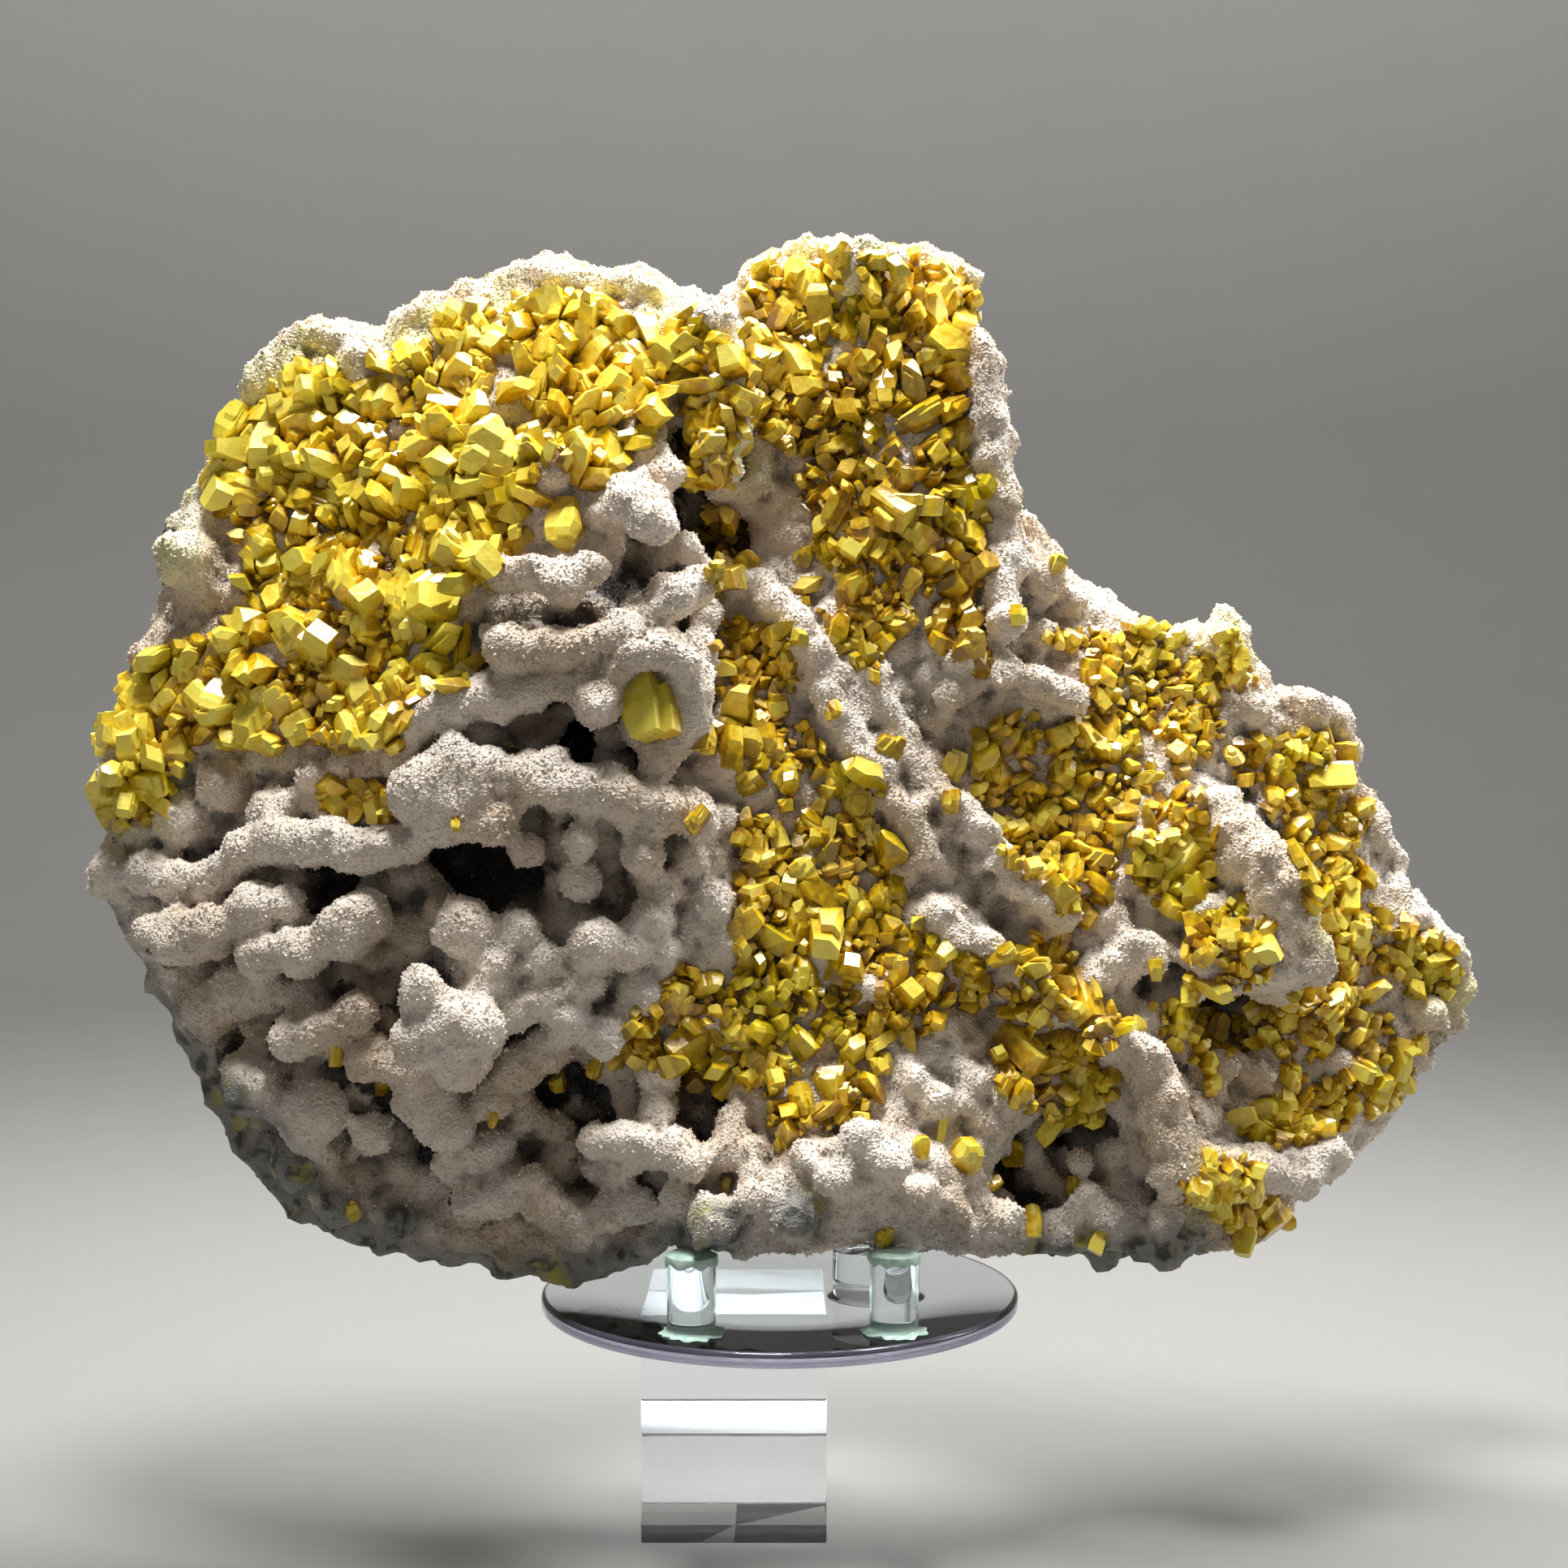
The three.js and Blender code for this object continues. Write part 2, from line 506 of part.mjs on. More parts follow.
function isInside(patch, x, z) {
  let inside = false;
  patch.forEach(([x1, z1], i) => {
    const [x2, z2] = patch[(i + patch.length - 1) % patch.length];
    if (z1 > z !== z2 > z && x < ((x2 - x1) * (z - z1)) / (z2 - z1) + x1) {
      inside = !inside;
    }
  });
  return inside;
}

// Places of a patch's crystals: its large ones, and staggered rows between them
function crystalPlaces({ patch, large }) {
  const places = [...large];
  const xs = patch.map(([x]) => x);
  const zs = patch.map(([, z]) => z);
  let row = 0;
  for (let z = Math.min(...zs); z <= Math.max(...zs); z += CRYSTAL_ROW_SPACING) {
    row += 1;
    const start = Math.min(...xs) + (row % 2) * CRYSTAL_SPACING * 0.5;
    for (let x = start; x <= Math.max(...xs); x += CRYSTAL_SPACING) {
      const atX = x + spread(CRYSTAL_JITTER);
      const atZ = z + spread(CRYSTAL_JITTER);
      const clear = large.every(([lx, lz, width]) => Math.hypot(lx - atX, lz - atZ) > width * CLEAR_OF_LARGE);
      if (isInside(patch, atX, atZ) && clear) {
        const halfWidth = CRYSTAL_HALF_WIDTH + spread(HALF_WIDTH_JITTER);
        places.push([atX, atZ, halfWidth, 1 + spread(SLENDERNESS_JITTER), 0]);
      }
    }
  }
  return places;
}

// The largest of a solid's separate bodies, without loose crumbs and closed holes
function largestBody(solid) {
  const bodies = solid.decompose();
  return bodies.reduce((best, body) => (body.volume() > best.volume() ? body : best));
}

// One patch of sulfur: a thin bed that follows the stone, with crystals grown together on it
function crust(description, surface, cutter) {
  const { patch } = description;
  const floor = Math.max(...patch.map(([x, z]) => depthAt(FRONT_SPOTS, x, z))) + CRUST_ROOT;
  const bed = stoneBody(CRUST_THICKNESS).intersect(sightPrism(patch, floor));
  const crystals = crystalPlaces(description)
    .map((place) => crystalOn(surface, ...place))
    .filter((crystal) => crystal !== null);
  return largestBody(joined([bed, ...crystals]).subtract(cutter));
}

// A turned piece of the stand, from a profile of radius and height
function turned(profile, sides) {
  const lathe = new THREE.LatheGeometry(profile.map(([r, h]) => new THREE.Vector2(r, h)), sides);
  lathe.rotateX(Math.PI / 2);
  return mergeVertices(lathe.deleteAttribute('uv').deleteAttribute('normal'), MERGE_DISTANCE);
}

function pegProfile(radius, height) {
  return [[0, 0], [radius + COLLAR_FLARE, 0], [radius, COLLAR_HEIGHT], [radius, height], [0, height]];
}

function discProfile() {
  const rim = DISC_RADIUS - DISC_EDGE_ROUND;
  return [[0, 0], [rim, 0], [DISC_RADIUS, DISC_THICKNESS / 2], [rim, DISC_THICKNESS], [0, DISC_THICKNESS]];
}

function blockGeometry() {
  const half = BLOCK_SIDE / 2 - BLOCK_BEVEL;
  const square = new THREE.Shape([
    new THREE.Vector2(-half, -half), new THREE.Vector2(half, -half),
    new THREE.Vector2(half, half), new THREE.Vector2(-half, half),
  ]);
  const block = new THREE.ExtrudeGeometry(square, {
    depth: BLOCK_HEIGHT - 2 * BLOCK_BEVEL,
    bevelEnabled: true,
    bevelThickness: BLOCK_BEVEL,
    bevelSize: BLOCK_BEVEL,
    bevelSegments: 1,
  });
  block.translate(0, 0, BLOCK_BEVEL);
  return mergeVertices(block.deleteAttribute('uv').deleteAttribute('normal'), MERGE_DISTANCE);
}

function addStand() {
  addPiece('stand_block_lower', blockGeometry(), ACRYLIC);
  addPiece('stand_block_upper', blockGeometry(), ACRYLIC, 0, 0, UPPER_BLOCK_FOOT);
  addPiece('stand_disc', turned(discProfile(), DISC_SIDES), ACRYLIC, DISC_CENTRE_X, 0, DISC_FOOT);
  const puttyRadius = PEG_RADIUS + PUTTY_OVERHANG;
  const puttyTop = puttyRadius - PUTTY_TAPER;
  const puttyProfile = [[0, 0], [puttyRadius, 0], [puttyTop, PUTTY_THICKNESS], [0, PUTTY_THICKNESS]];
  for (const [side, [x, y]] of Object.entries(PEG_PLACES)) {
    addPiece(`stand_peg_${side}`, turned(pegProfile(PEG_RADIUS, PEG_HEIGHT), PEG_SIDES), ACRYLIC, x, y, PEG_FOOT);
    addPiece(`putty_pad_${side}`, turned(puttyProfile, PEG_SIDES), PUTTY, x, y, PUTTY_FOOT);
  }
  const post = turned(pegProfile(POST_RADIUS, POST_HEIGHT), PEG_SIDES);
  addPiece('stand_post_back', post, ACRYLIC, ...POST_PLACE, PEG_FOOT);
}

function addStone() {
  const space = standSpace();
  const stone = largestBody(matrix(0).subtract(space));
  const cutter = matrix(GAP).add(stone).add(space);
  const surface = addPiece('aragonite_matrix', geometryOf(stone), ARAGONITE);
  for (const [name, description] of Object.entries(CRUSTS)) {
    addPiece(name, geometryOf(crust(description, surface, cutter)), SULFUR);
  }
  for (const [name, place] of Object.entries(LONE_CRYSTALS)) {
    addPiece(name, geometryOf(largestBody(crystalOn(surface, ...place).subtract(cutter))), SULFUR);
  }
}

addStand();
addStone();

export default specimen;
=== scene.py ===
"""Looks of a sulfur on aragonite specimen on its clear stand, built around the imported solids.

Places on the stone are read on the upright plane Y = 0 as seen from the eye in front of it, in millimetres
as x and z, and are carried along the lines of sight to the surface that they lie on.
"""
import math
from itertools import combinations

import bpy
import numpy as np
from bpy.props import FloatProperty, FloatVectorProperty, PointerProperty
from bpy.types import Operator, Panel, PropertyGroup
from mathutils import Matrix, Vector, kdtree, noise
from mathutils.bvhtree import BVHTree


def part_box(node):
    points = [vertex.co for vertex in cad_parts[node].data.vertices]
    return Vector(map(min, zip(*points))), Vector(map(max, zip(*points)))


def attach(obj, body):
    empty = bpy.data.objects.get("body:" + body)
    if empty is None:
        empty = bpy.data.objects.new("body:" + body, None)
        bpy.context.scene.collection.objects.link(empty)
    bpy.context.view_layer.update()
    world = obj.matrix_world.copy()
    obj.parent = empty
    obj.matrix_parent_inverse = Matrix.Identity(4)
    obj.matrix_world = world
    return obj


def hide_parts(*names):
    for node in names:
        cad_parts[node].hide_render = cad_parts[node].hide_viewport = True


bl_info = {
    "name": "Sulfur on Aragonite Specimen",
    "version": (1, 0, 0),
    "blender": (4, 5, 0),
    "location": "View3D > Sidebar > Specimen",
    "description": "Builds the finished surfaces of a sulfur on aragonite specimen on a clear acrylic stand",
    "category": "Object",
}

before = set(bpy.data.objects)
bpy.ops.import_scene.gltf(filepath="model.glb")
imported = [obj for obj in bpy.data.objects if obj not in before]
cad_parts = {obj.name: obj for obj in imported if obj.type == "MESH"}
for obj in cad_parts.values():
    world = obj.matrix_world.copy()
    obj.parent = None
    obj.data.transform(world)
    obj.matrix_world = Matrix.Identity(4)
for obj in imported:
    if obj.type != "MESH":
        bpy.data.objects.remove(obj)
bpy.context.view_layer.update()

MM = 0.001

# Where the photo was taken from, and its lens in millimetres for a 36 mm wide sensor
EYE = np.array((10.3, -429.0, 155.9)) * MM
LENS = 45.9

# Triangles of the stone, crystals of its druse, and forms that each sulfur crystal is picked from
MOST_TRIANGLES = 188000
DRUSE_CRYSTALS = 125000
FULL_FORMS = 28
PLAIN_FORMS = 20

# Where the left part of the stone ends and the right part begins, as x in millimetres
LEFT_END = -8
RIGHT_START = 45

# Seeds of the random draws
STONE_SEED = 3
DRUSE_SEED = 5
SULFUR_SEED = 8

# How much light bends in each material
ARAGONITE_IOR = 1.6
SULFUR_IOR = 1.96
ACRYLIC_IOR = 1.49

# Sockets of a mix of two colours: its share, its colours and its result
SHARE, FIRST, SECOND, MIXED = 0, 6, 7, 2

# Where the lights aim
STONE_MIDDLE = (0, 0, 0.15)
BACKDROP_MIDDLE = (0, 1.7, 0.45)

# Soft lights: name, place, target, width and height in metres, and power in watts
LIGHTS = (
    ("key_softbox", (-0.06, -0.15, 0.85), STONE_MIDDLE, 0.22, 0.15, 8.6),
    ("back_softbox", (0.06, 0.11, 0.62), STONE_MIDDLE, 0.6, 0.14, 9.5),
    ("front_softbox", (-0.4, -1.2, 0.5), STONE_MIDDLE, 0.9, 0.6, 1.0),
    ("side_softbox", (0.7, 0.12, 0.4), STONE_MIDDLE, 0.35, 0.35, 2.6),
    ("backdrop_softbox", (0, 0.75, 1.35), BACKDROP_MIDDLE, 1.8, 0.4, 22.0),
)

# Knobs strewn over the stone: tries, spacing, least and most radius in millimetres and how deep they sit,
# as a share of the radius
GROUND_KNOBS = (16000, 5.0, 1.6, 3.6, 0.35)
LARGE_KNOBS = (6000, 6.0, 2.6, 4.2, -0.15)
BEADS = (9000, 4.4, 1.0, 1.9, -0.2)

# Aragonite fingers: rows of x, z and radius
FINGERS = (
    ((-73.6, 168, 4.6), (-60, 173, 4.8), (-45, 176, 4.6), (-33, 178.5, 4.6)),
    ((-72, 160, 4.6), (-66, 157.5, 4.4), (-57, 160, 4.6), (-51, 158, 4.2)),
    ((-60, 161, 4.8), (-48, 158, 5.0), (-38, 155, 5.4), (-27, 153, 5.2), (-15, 150, 5.0), (-8, 148, 4.6)),
    ((-69, 153, 6.2), (-62, 151.5, 6.6), (-56, 154, 5.4)),
    ((-66, 146, 4.6), (-53, 147, 4.8)),
    ((-110, 138, 4.4), (-105, 142, 4.6), (-97, 144, 5.0), (-88, 142.5, 4.8), (-80, 141, 4.6),
     (-70, 142, 4.6)),
    ((-134, 136.5, 4.8), (-127, 136, 5.0), (-121, 135, 5.0), (-114, 136, 5.2)),
    ((-121, 122, 5.4), (-112, 125, 5.2), (-104, 128, 5.6), (-98, 130.5, 5.4)),
    ((-101, 119, 5.6), (-93, 121, 5.4), (-85, 124, 5.8), (-79, 127, 5.4)),
    ((-112, 108, 5.6), (-101, 112, 5.8)),
    ((-95, 101.6, 5.0), (-87, 103, 4.8), (-82.5, 108, 5.6)),
    ((-79, 97, 5.6), (-72, 94.5, 5.4)),
    ((-68, 91, 5.2), (-64, 87, 5.8), (-60, 82, 5.6)),
    ((-57, 66, 4.4), (-50, 67.5, 4.6), (-44, 70, 4.4), (-39, 64.5, 4.4), (-33, 61.5, 4.6), (-27, 65, 4.4),
     (-21, 65, 4.4)),
    ((-61, 76, 4.6), (-51, 77.5, 4.8)),
    ((-31, 78.8, 4.6), (-21.4, 79.5, 5.2), (-13.8, 77.6, 5.0), (-9.4, 74.4, 4.6)),
    ((-57, 201, 4.4), (-50, 201.5, 4.4), (-44, 201, 4.0)),
    ((-40, 200, 4.0), (-36, 198.5, 4.2), (-31, 202, 3.9)),
    ((-50, 184.5, 4.8), (-40, 184.5, 5.0), (-30, 186.5, 5.0), (-20, 190.5, 4.8), (-13, 195, 4.4)),
    ((-26, 180, 3.8), (-22, 183.5, 4.2), (-16, 185.5, 4.2), (-11, 182, 4.0), (-9, 174, 4.4),
     (-11, 166, 4.2), (-17, 162.5, 4.0)),
    ((-12, 240, 2.8), (-12.5, 228, 3.0), (-11, 214, 3.2), (-9, 203, 3.4), (-7, 190, 3.4), (-7.5, 176, 3.2)),
    ((-1, 84, 3.6), (-3, 76, 3.8)),
    ((3.3, 78, 3.4), (3.3, 67, 3.6)),
    ((-3, 200, 3.8), (5, 199, 4.0), (11, 194, 4.2), (15, 187, 4.4), (18, 180, 4.2), (21, 172, 4.2),
     (26, 165, 4.2), (30, 159, 4.0), (33, 153, 4.0), (38, 148, 4.2), (41, 141, 4.0)),
    ((30, 179, 4.0), (35, 167, 4.2), (41, 155, 4.2), (46, 150, 4.4), (52, 146, 4.4), (56, 141, 4.4),
     (60, 136, 4.6), (65, 131, 4.2), (70, 127, 4.0)),
    ((44, 128, 3.8), (48, 124, 4.0), (55, 120, 4.2), (60, 116, 4.2), (65, 111.5, 4.0), (69, 106, 3.8)),
    ((58, 180, 4.4), (65, 178, 4.6), (72, 174, 4.4)),
    ((53, 249, 3.0), (53.5, 238, 3.4), (55, 226, 3.8), (57, 214, 4.0), (57, 202, 4.0), (58, 190, 4.2)),
    ((72, 133, 4.0), (82, 135, 3.8)),
    ((80, 100.5, 5.0), (87, 96, 6.2), (91, 89, 6.6), (92.5, 81, 6.4), (95, 73, 5.8)),
    ((74, 75, 3.8), (80, 76.5, 4.0), (88, 76, 4.2)),
    ((97, 74, 4.8), (106, 73.5, 4.6), (114, 73, 4.8), (121, 71.5, 4.6), (127, 77, 4.6)),
    ((112, 180, 3.8), (120, 174, 4.2), (128, 170.5, 4.2), (132, 163, 4.0), (136, 155, 4.0),
     (137, 147, 4.2), (140, 139, 4.2), (142, 133, 4.0)),
    ((144, 129, 3.8), (150, 124, 4.2), (155, 117, 4.4), (156, 111.5, 4.2)),
    ((-6, 256, 3.0), (0, 252, 3.0), (3, 244, 3.2), (4.5, 236, 3.2), (5, 229, 3.4), (4, 222, 3.2),
     (-1, 216, 3.4)),
    ((-103, 243, 3.2), (-97.5, 249, 3.0), (-93.8, 253.2, 2.2), (-91, 251.5, 2.2), (-84, 251.5, 2.6)),
    ((-72, 254, 2.6), (-62, 261, 2.8), (-52, 264.5, 2.8), (-40, 265, 2.8), (-28, 263.5, 2.8),
     (-18, 261, 2.8)),
    ((4, 264, 2.6), (9, 269, 2.8), (19, 270.8, 2.8), (31, 269.6, 2.8), (46, 268.2, 2.8), (50.5, 264, 2.8)),
)

# Single rounded lumps of aragonite: x, z and radius
LUMPS = (
    (-62, 107, 8.2), (-68, 101, 5.6), (-56, 104, 6.2), (-60, 96, 6.4), (-67, 112, 5.4), (-54, 112, 5.2),
    (-58, 125, 6.2), (-47, 124, 5.0), (-53, 118, 5.0), (-45.5, 141.8, 4.2), (-34.7, 143.4, 4.2),
    (-19.5, 139.9, 4.8), (-8.8, 139, 3.8), (-5.6, 132.3, 4.8), (-15.7, 132.6, 4.2), (-34, 134, 4.8),
    (-26.5, 160.5, 4.4), (-18.3, 156.6, 3.4), (-31, 121, 4.8), (-22, 121, 4.8), (-15, 119, 4.4),
    (-42, 119, 4.6), (-19.5, 127, 4.8), (-19.5, 112, 5.2), (-33.5, 114, 5.6), (-41.7, 110, 4.8),
    (-49, 107, 5.4), (-34.7, 104.5, 4.6), (-28, 101, 5.6), (-40, 98, 5.2), (-16.4, 94.7, 4.6),
    (-17, 86.4, 4.6), (-47, 94, 4.6), (-53, 89, 4.4), (21, 72, 5.6), (33, 73, 5.8), (27, 80, 6.2),
    (15, 77, 4.6), (40, 68, 5.2), (9, 70, 4.4), (-90, 84, 7.4), (-104, 90, 6.0), (-77.6, 82, 4.8),
    (-85, 67, 6.0), (-94, 74, 5.4), (-73, 63, 4.6), (-24, 216, 4.6), (-18, 213, 4.8), (-40, 222, 4.4),
    (-34, 223.5, 4.2), (-23, 216, 5.0), (-17, 212.5, 5.0), (-16, 223, 3.8), (-29, 174, 5.0),
    (-27, 167, 4.6), (36, 137, 4.0), (48, 182, 4.4), (47, 175, 4.6), (43, 170, 4.2), (66, 188, 4.4),
    (60, 205, 4.8), (66, 199, 4.8), (72, 196, 4.2), (-3, 62, 5.6), (13, 63, 5.6), (-13, 66, 4.4),
    (84, 150, 4.0), (87, 142, 4.2), (90, 133, 4.4), (80, 128, 3.8), (104, 187, 4.6), (27, 267, 4.4),
    (36, 258, 4.0), (-117, 204, 5.4), (-116, 197, 4.8), (-81, 246, 4.6), (-48, 237, 3.8), (-90, 158, 4.4),
    (-110, 156, 5.6), (-100, 152, 5.4), (-118, 148, 5.0), (-128, 146, 4.8), (-84, 160, 4.2), (52, 92, 4.0),
    (44, 88, 3.8), (38, 92, 4.2), (60, 88, 3.8), (130, 96, 4.2), (104, 96, 4.4), (112, 93, 4.0),
    (80, 62, 4.6), (92, 64, 5.4), (58, 62, 4.4), (70, 58, 4.0), (125, 108, 4.2), (148, 106, 4.4),
    (100, 128, 5.0), (107, 122, 5.4), (112, 129, 5.6), (104, 152, 4.4), (107, 146, 5.0), (110, 140, 5.6),
    (113, 134, 5.8), (117, 128, 6.0), (121, 122, 5.6), (124, 116, 4.6), (118, 117, 5.4), (112, 116, 5.2),
    (106, 114, 4.6), (101, 117, 4.2), (105, 129, 5.0), (108, 135, 5.0), (112, 125, 5.4), (101, 152, 4.0),
    (96, 150, 3.8), (92, 146, 3.6), (28, 112, 3.6), (46, 104, 3.8), (-4, 160, 4.0), (-2, 148, 3.8),
    (-3, 122, 4.0), (-6, 108, 3.8), (105, 146, 5.6), (88, 120, 4.4), (82, 117.5, 3.6), (76, 113, 3.8),
    (85, 122, 2.8), (79, 114, 3.2), (90, 117, 3.0), (113, 140, 6.0), (107, 139, 6.6), (118, 134, 5.8),
    (110, 130, 7.2), (117, 124, 6.8), (109, 121, 6.6), (103, 123, 5.6), (123, 120, 5.8), (116, 115, 5.6),
)

# Areas whose ground lies further behind the fingers that cross it: outline and added depth
DEEP_AREAS = (
    (((-136, 148), (-112, 158), (-86, 152), (-76, 164), (-60, 180), (-30, 184), (-12, 160), (-8, 140),
     (-10, 116),
      (-24, 108), (-26, 97), (-14, 91), (0, 88), (5, 66), (-20, 58), (-60, 58), (-95, 68), (-124, 104)), 7.5),
    (((-58, 203), (-48, 210), (-36, 220), (-20, 224), (-11, 215), (-8, 190), (-30, 182), (-58, 184)), 7.0),
    (((57, 178), (58, 196), (64, 206), (80, 194), (74, 184), (74, 170)), 2.0),
)

# Area whose ground is grown over with rounded knobs
KNOB_AREA = ((-134, 148), (-112, 158), (-86, 152), (-76, 164), (-60, 176), (-30, 182), (-12, 162), (-6, 140),
             (-8, 116), (-24, 108), (-26, 97), (-14, 91), (0, 88), (5, 66), (-20, 60), (-60, 62), (-95, 78),
             (-124, 112))

# Deep gaps between the fingers: x, z, half width, half height and depth
GAPS = (
    (-60, 137.5, 12, 3.6, 9), (-47, 133, 6.5, 6, 10), (-98.5, 103, 7, 6, 9), (-92, 94, 6, 5, 8),
    (-117, 112, 4, 5, 6), (-23, 163, 10, 3.0, 9), (-19.5, 174, 5.0, 7, 7), (-36, 84, 9, 5.5, 9),
    (-34, 71, 5, 5, 8), (-9.5, 89, 5, 7, 8), (-89, 156, 4, 2.5, 5), (-68, 76, 8, 4, 8), (72, 77, 10, 6, 10),
    (64, 70, 7, 5, 7), (108, 104.5, 9, 5, 8), (-10.5, 232, 2.6, 15, 8), (-5, 195, 2.6, 24, 9),
    (-40, 193.5, 14, 3.2, 10), (-24, 202, 5, 8, 10), (-96, 134.5, 12, 2.6, 7), (-72, 116, 4, 6, 7),
    (-78, 132, 10, 2.6, 7), (-30, 146.5, 14, 2.2, 5), (24, 84, 5, 3, 4), (62, 152, 6, 3, 4),
    (-110, 116, 8, 2.4, 6), (-45, 101, 3, 4, 6), (-25, 133, 3, 4, 6), (-52, 70, 3, 3, 5),
    (-70, 100, 3, 8, 7), (92, 112, 5, 3.4, 6),
)

# Outlines of the areas that sulfur covers, by the crust of crystals that each belongs to
SULFUR_AREAS = {
    "upper_left": (
        ((-112, 218), (-107, 228), (-102, 236), (-95, 243), (-86, 246), (-72, 247), (-60, 256), (-48, 261),
         (-33, 261), (-24, 255), (-14, 248), (-16, 235), (-22, 226), (-30, 220), (-42, 226), (-46, 215),
         (-48, 207), (-56, 201), (-64, 191), (-62, 183), (-54, 181), (-64, 176), (-73, 171), (-76, 163),
         (-86, 162), (-92, 170), (-98, 164), (-108, 166), (-112, 176), (-117, 160), (-126, 158), (-134, 165),
         (-130, 178), (-122, 185), (-110, 185), (-105, 193), (-106, 206), (-108, 213)),
        ((-136, 148), (-134, 160), (-122, 161), (-122, 150), (-128, 146)),
        ((-86, 150), (-85, 156), (-76, 156), (-76, 150)),
    ),
    "tower": (
        ((3, 260), (9, 267), (30, 269), (42, 268), (50, 263), (50, 252), (46, 238), (49, 226), (54, 221),
         (52, 208), (54, 200), (50, 196), (52, 186), (56, 182), (50, 180), (44, 188), (38, 190), (30, 185),
         (30, 177), (23, 184), (17, 194), (14, 206), (14, 218), (17, 226), (10, 229), (3, 236), (2, 246)),
        ((-12, 255), (-6, 256), (-1, 250), (1, 241), (0, 230), (-2, 221), (-8, 221), (-9, 240)),
        ((-6, 216), (1, 214), (1, 202), (-5, 196)),
    ),
    "valley": (
        ((-3, 191), (12, 189), (13, 176), (13, 168), (21, 162), (27, 159), (31, 150), (33, 142), (35, 134),
         (37, 127), (44, 123), (52, 116), (57, 111), (48, 106), (40, 103), (34, 99), (29, 92), (26, 84),
         (18, 82), (11, 81), (9, 88), (2, 90), (-6, 92), (-14, 94), (-24, 97), (-24, 104), (-17, 109),
         (-12, 117), (-8, 116), (-2, 112), (2, 120), (0, 128), (0, 136), (4, 138), (0, 146), (5, 150),
         (4, 160), (-4, 163), (-3, 172)),
        ((58, 104), (76, 96), (84, 104), (76, 110), (70, 120), (63, 124), (60, 116)),
        ((56, 97), (66, 103), (80, 92), (78, 84), (70, 84), (60, 89)),
    ),
    "right": (
        ((67, 188), (85, 189), (97, 188), (103, 187), (107, 186), (108, 180), (110, 176), (104, 170),
         (100, 164), (97, 156), (88, 160), (84, 152), (83, 138), (76, 130), (70, 128), (62, 136), (54, 150),
         (51, 158), (52, 168), (58, 171), (70, 168), (77, 172), (74, 184)),
        ((88, 152), (99, 154), (103, 144), (100, 132), (92, 129), (87, 134)),
        ((110, 166), (116, 164), (121, 168), (128, 165), (126, 160), (131, 153), (135, 147), (132, 142),
         (134, 136), (135, 130), (126, 125), (123, 132), (121, 141), (117, 148), (110, 154), (107, 159)),
        ((99, 112), (98, 120), (101, 128), (110, 130), (114, 124), (113, 117), (107, 112)),
    ),
    "lower_right": (
        ((126, 113), (137, 112), (140, 104), (144, 94), (141, 88), (134, 87), (128, 81), (118, 78), (109, 78),
         (108, 83), (115, 89), (117, 97), (112, 101), (106, 98), (101, 94), (98, 96), (94, 101), (90, 108),
         (98, 109), (108, 107)),
        ((127, 127), (137, 128), (148, 125), (152, 119), (154, 114), (150, 109), (140, 115), (133, 117)),
        ((97, 74), (108, 76), (113, 66), (118, 62), (112, 60), (104, 62), (98, 67)),
    ),
}

# Bare patches inside those areas, where white aragonite shows: x, z and radius
BARE_PATCHES = (
    (-115, 204, 7), (-81, 246, 5.5), (-48, 237, 4.5), (-103, 195, 2.5), (23, 261, 4.5), (42, 197, 4),
    (31, 215, 3), (14, 212, 3), (28, 112, 4), (12, 152, 3), (92, 164, 3), (124, 146, 3.5), (-6, 246, 2.5),
    (-4, 104, 3), (46, 108, 3), (126, 96, 4), (-96, 214, 3), (-60, 246, 3), (30, 228, 2.5), (18, 108, 3),
)

# Zones where the crystals are frosted and sulfur dusts the aragonite: x, z and radius
FROSTED_ZONES = (
    (-124, 208, 9), (-118, 222, 10), (-108, 236, 12), (-92, 248, 10), (-70, 255, 9), (-50, 261, 9),
    (-32, 260, 11), (-20, 254, 10), (-130, 166, 8), (-128, 152, 9), (-104, 167, 7), (14, 266, 10),
    (30, 268, 9), (46, 263, 11), (-6, 242, 13), (-2, 226, 8), (104, 186, 8), (96, 140, 7), (154, 115, 9),
    (130, 126, 6), (103, 70, 7), (-66, 200, 7), (-52, 228, 6), (13, 246, 6),
)

# Ranges of bare host rock on the front: x, z and radius
ROCK_PATCHES = (
    (-136, 126, 5), (-131, 116, 6), (-126, 106, 7), (-120, 96, 8), (-113, 86, 9), (-105, 77, 10),
    (-97, 68, 10), (-88, 60, 10), (-78, 54, 9), (-68, 50, 8), (-56, 48, 9), (-44, 46, 9), (-33, 47, 9),
    (-24, 51, 7), (-14, 57, 5), (-4, 60, 7), (14, 64, 6), (66, 54, 6), (76, 52, 8), (86, 52, 8),
    (96, 56, 6), (-72, 62, 5),
)

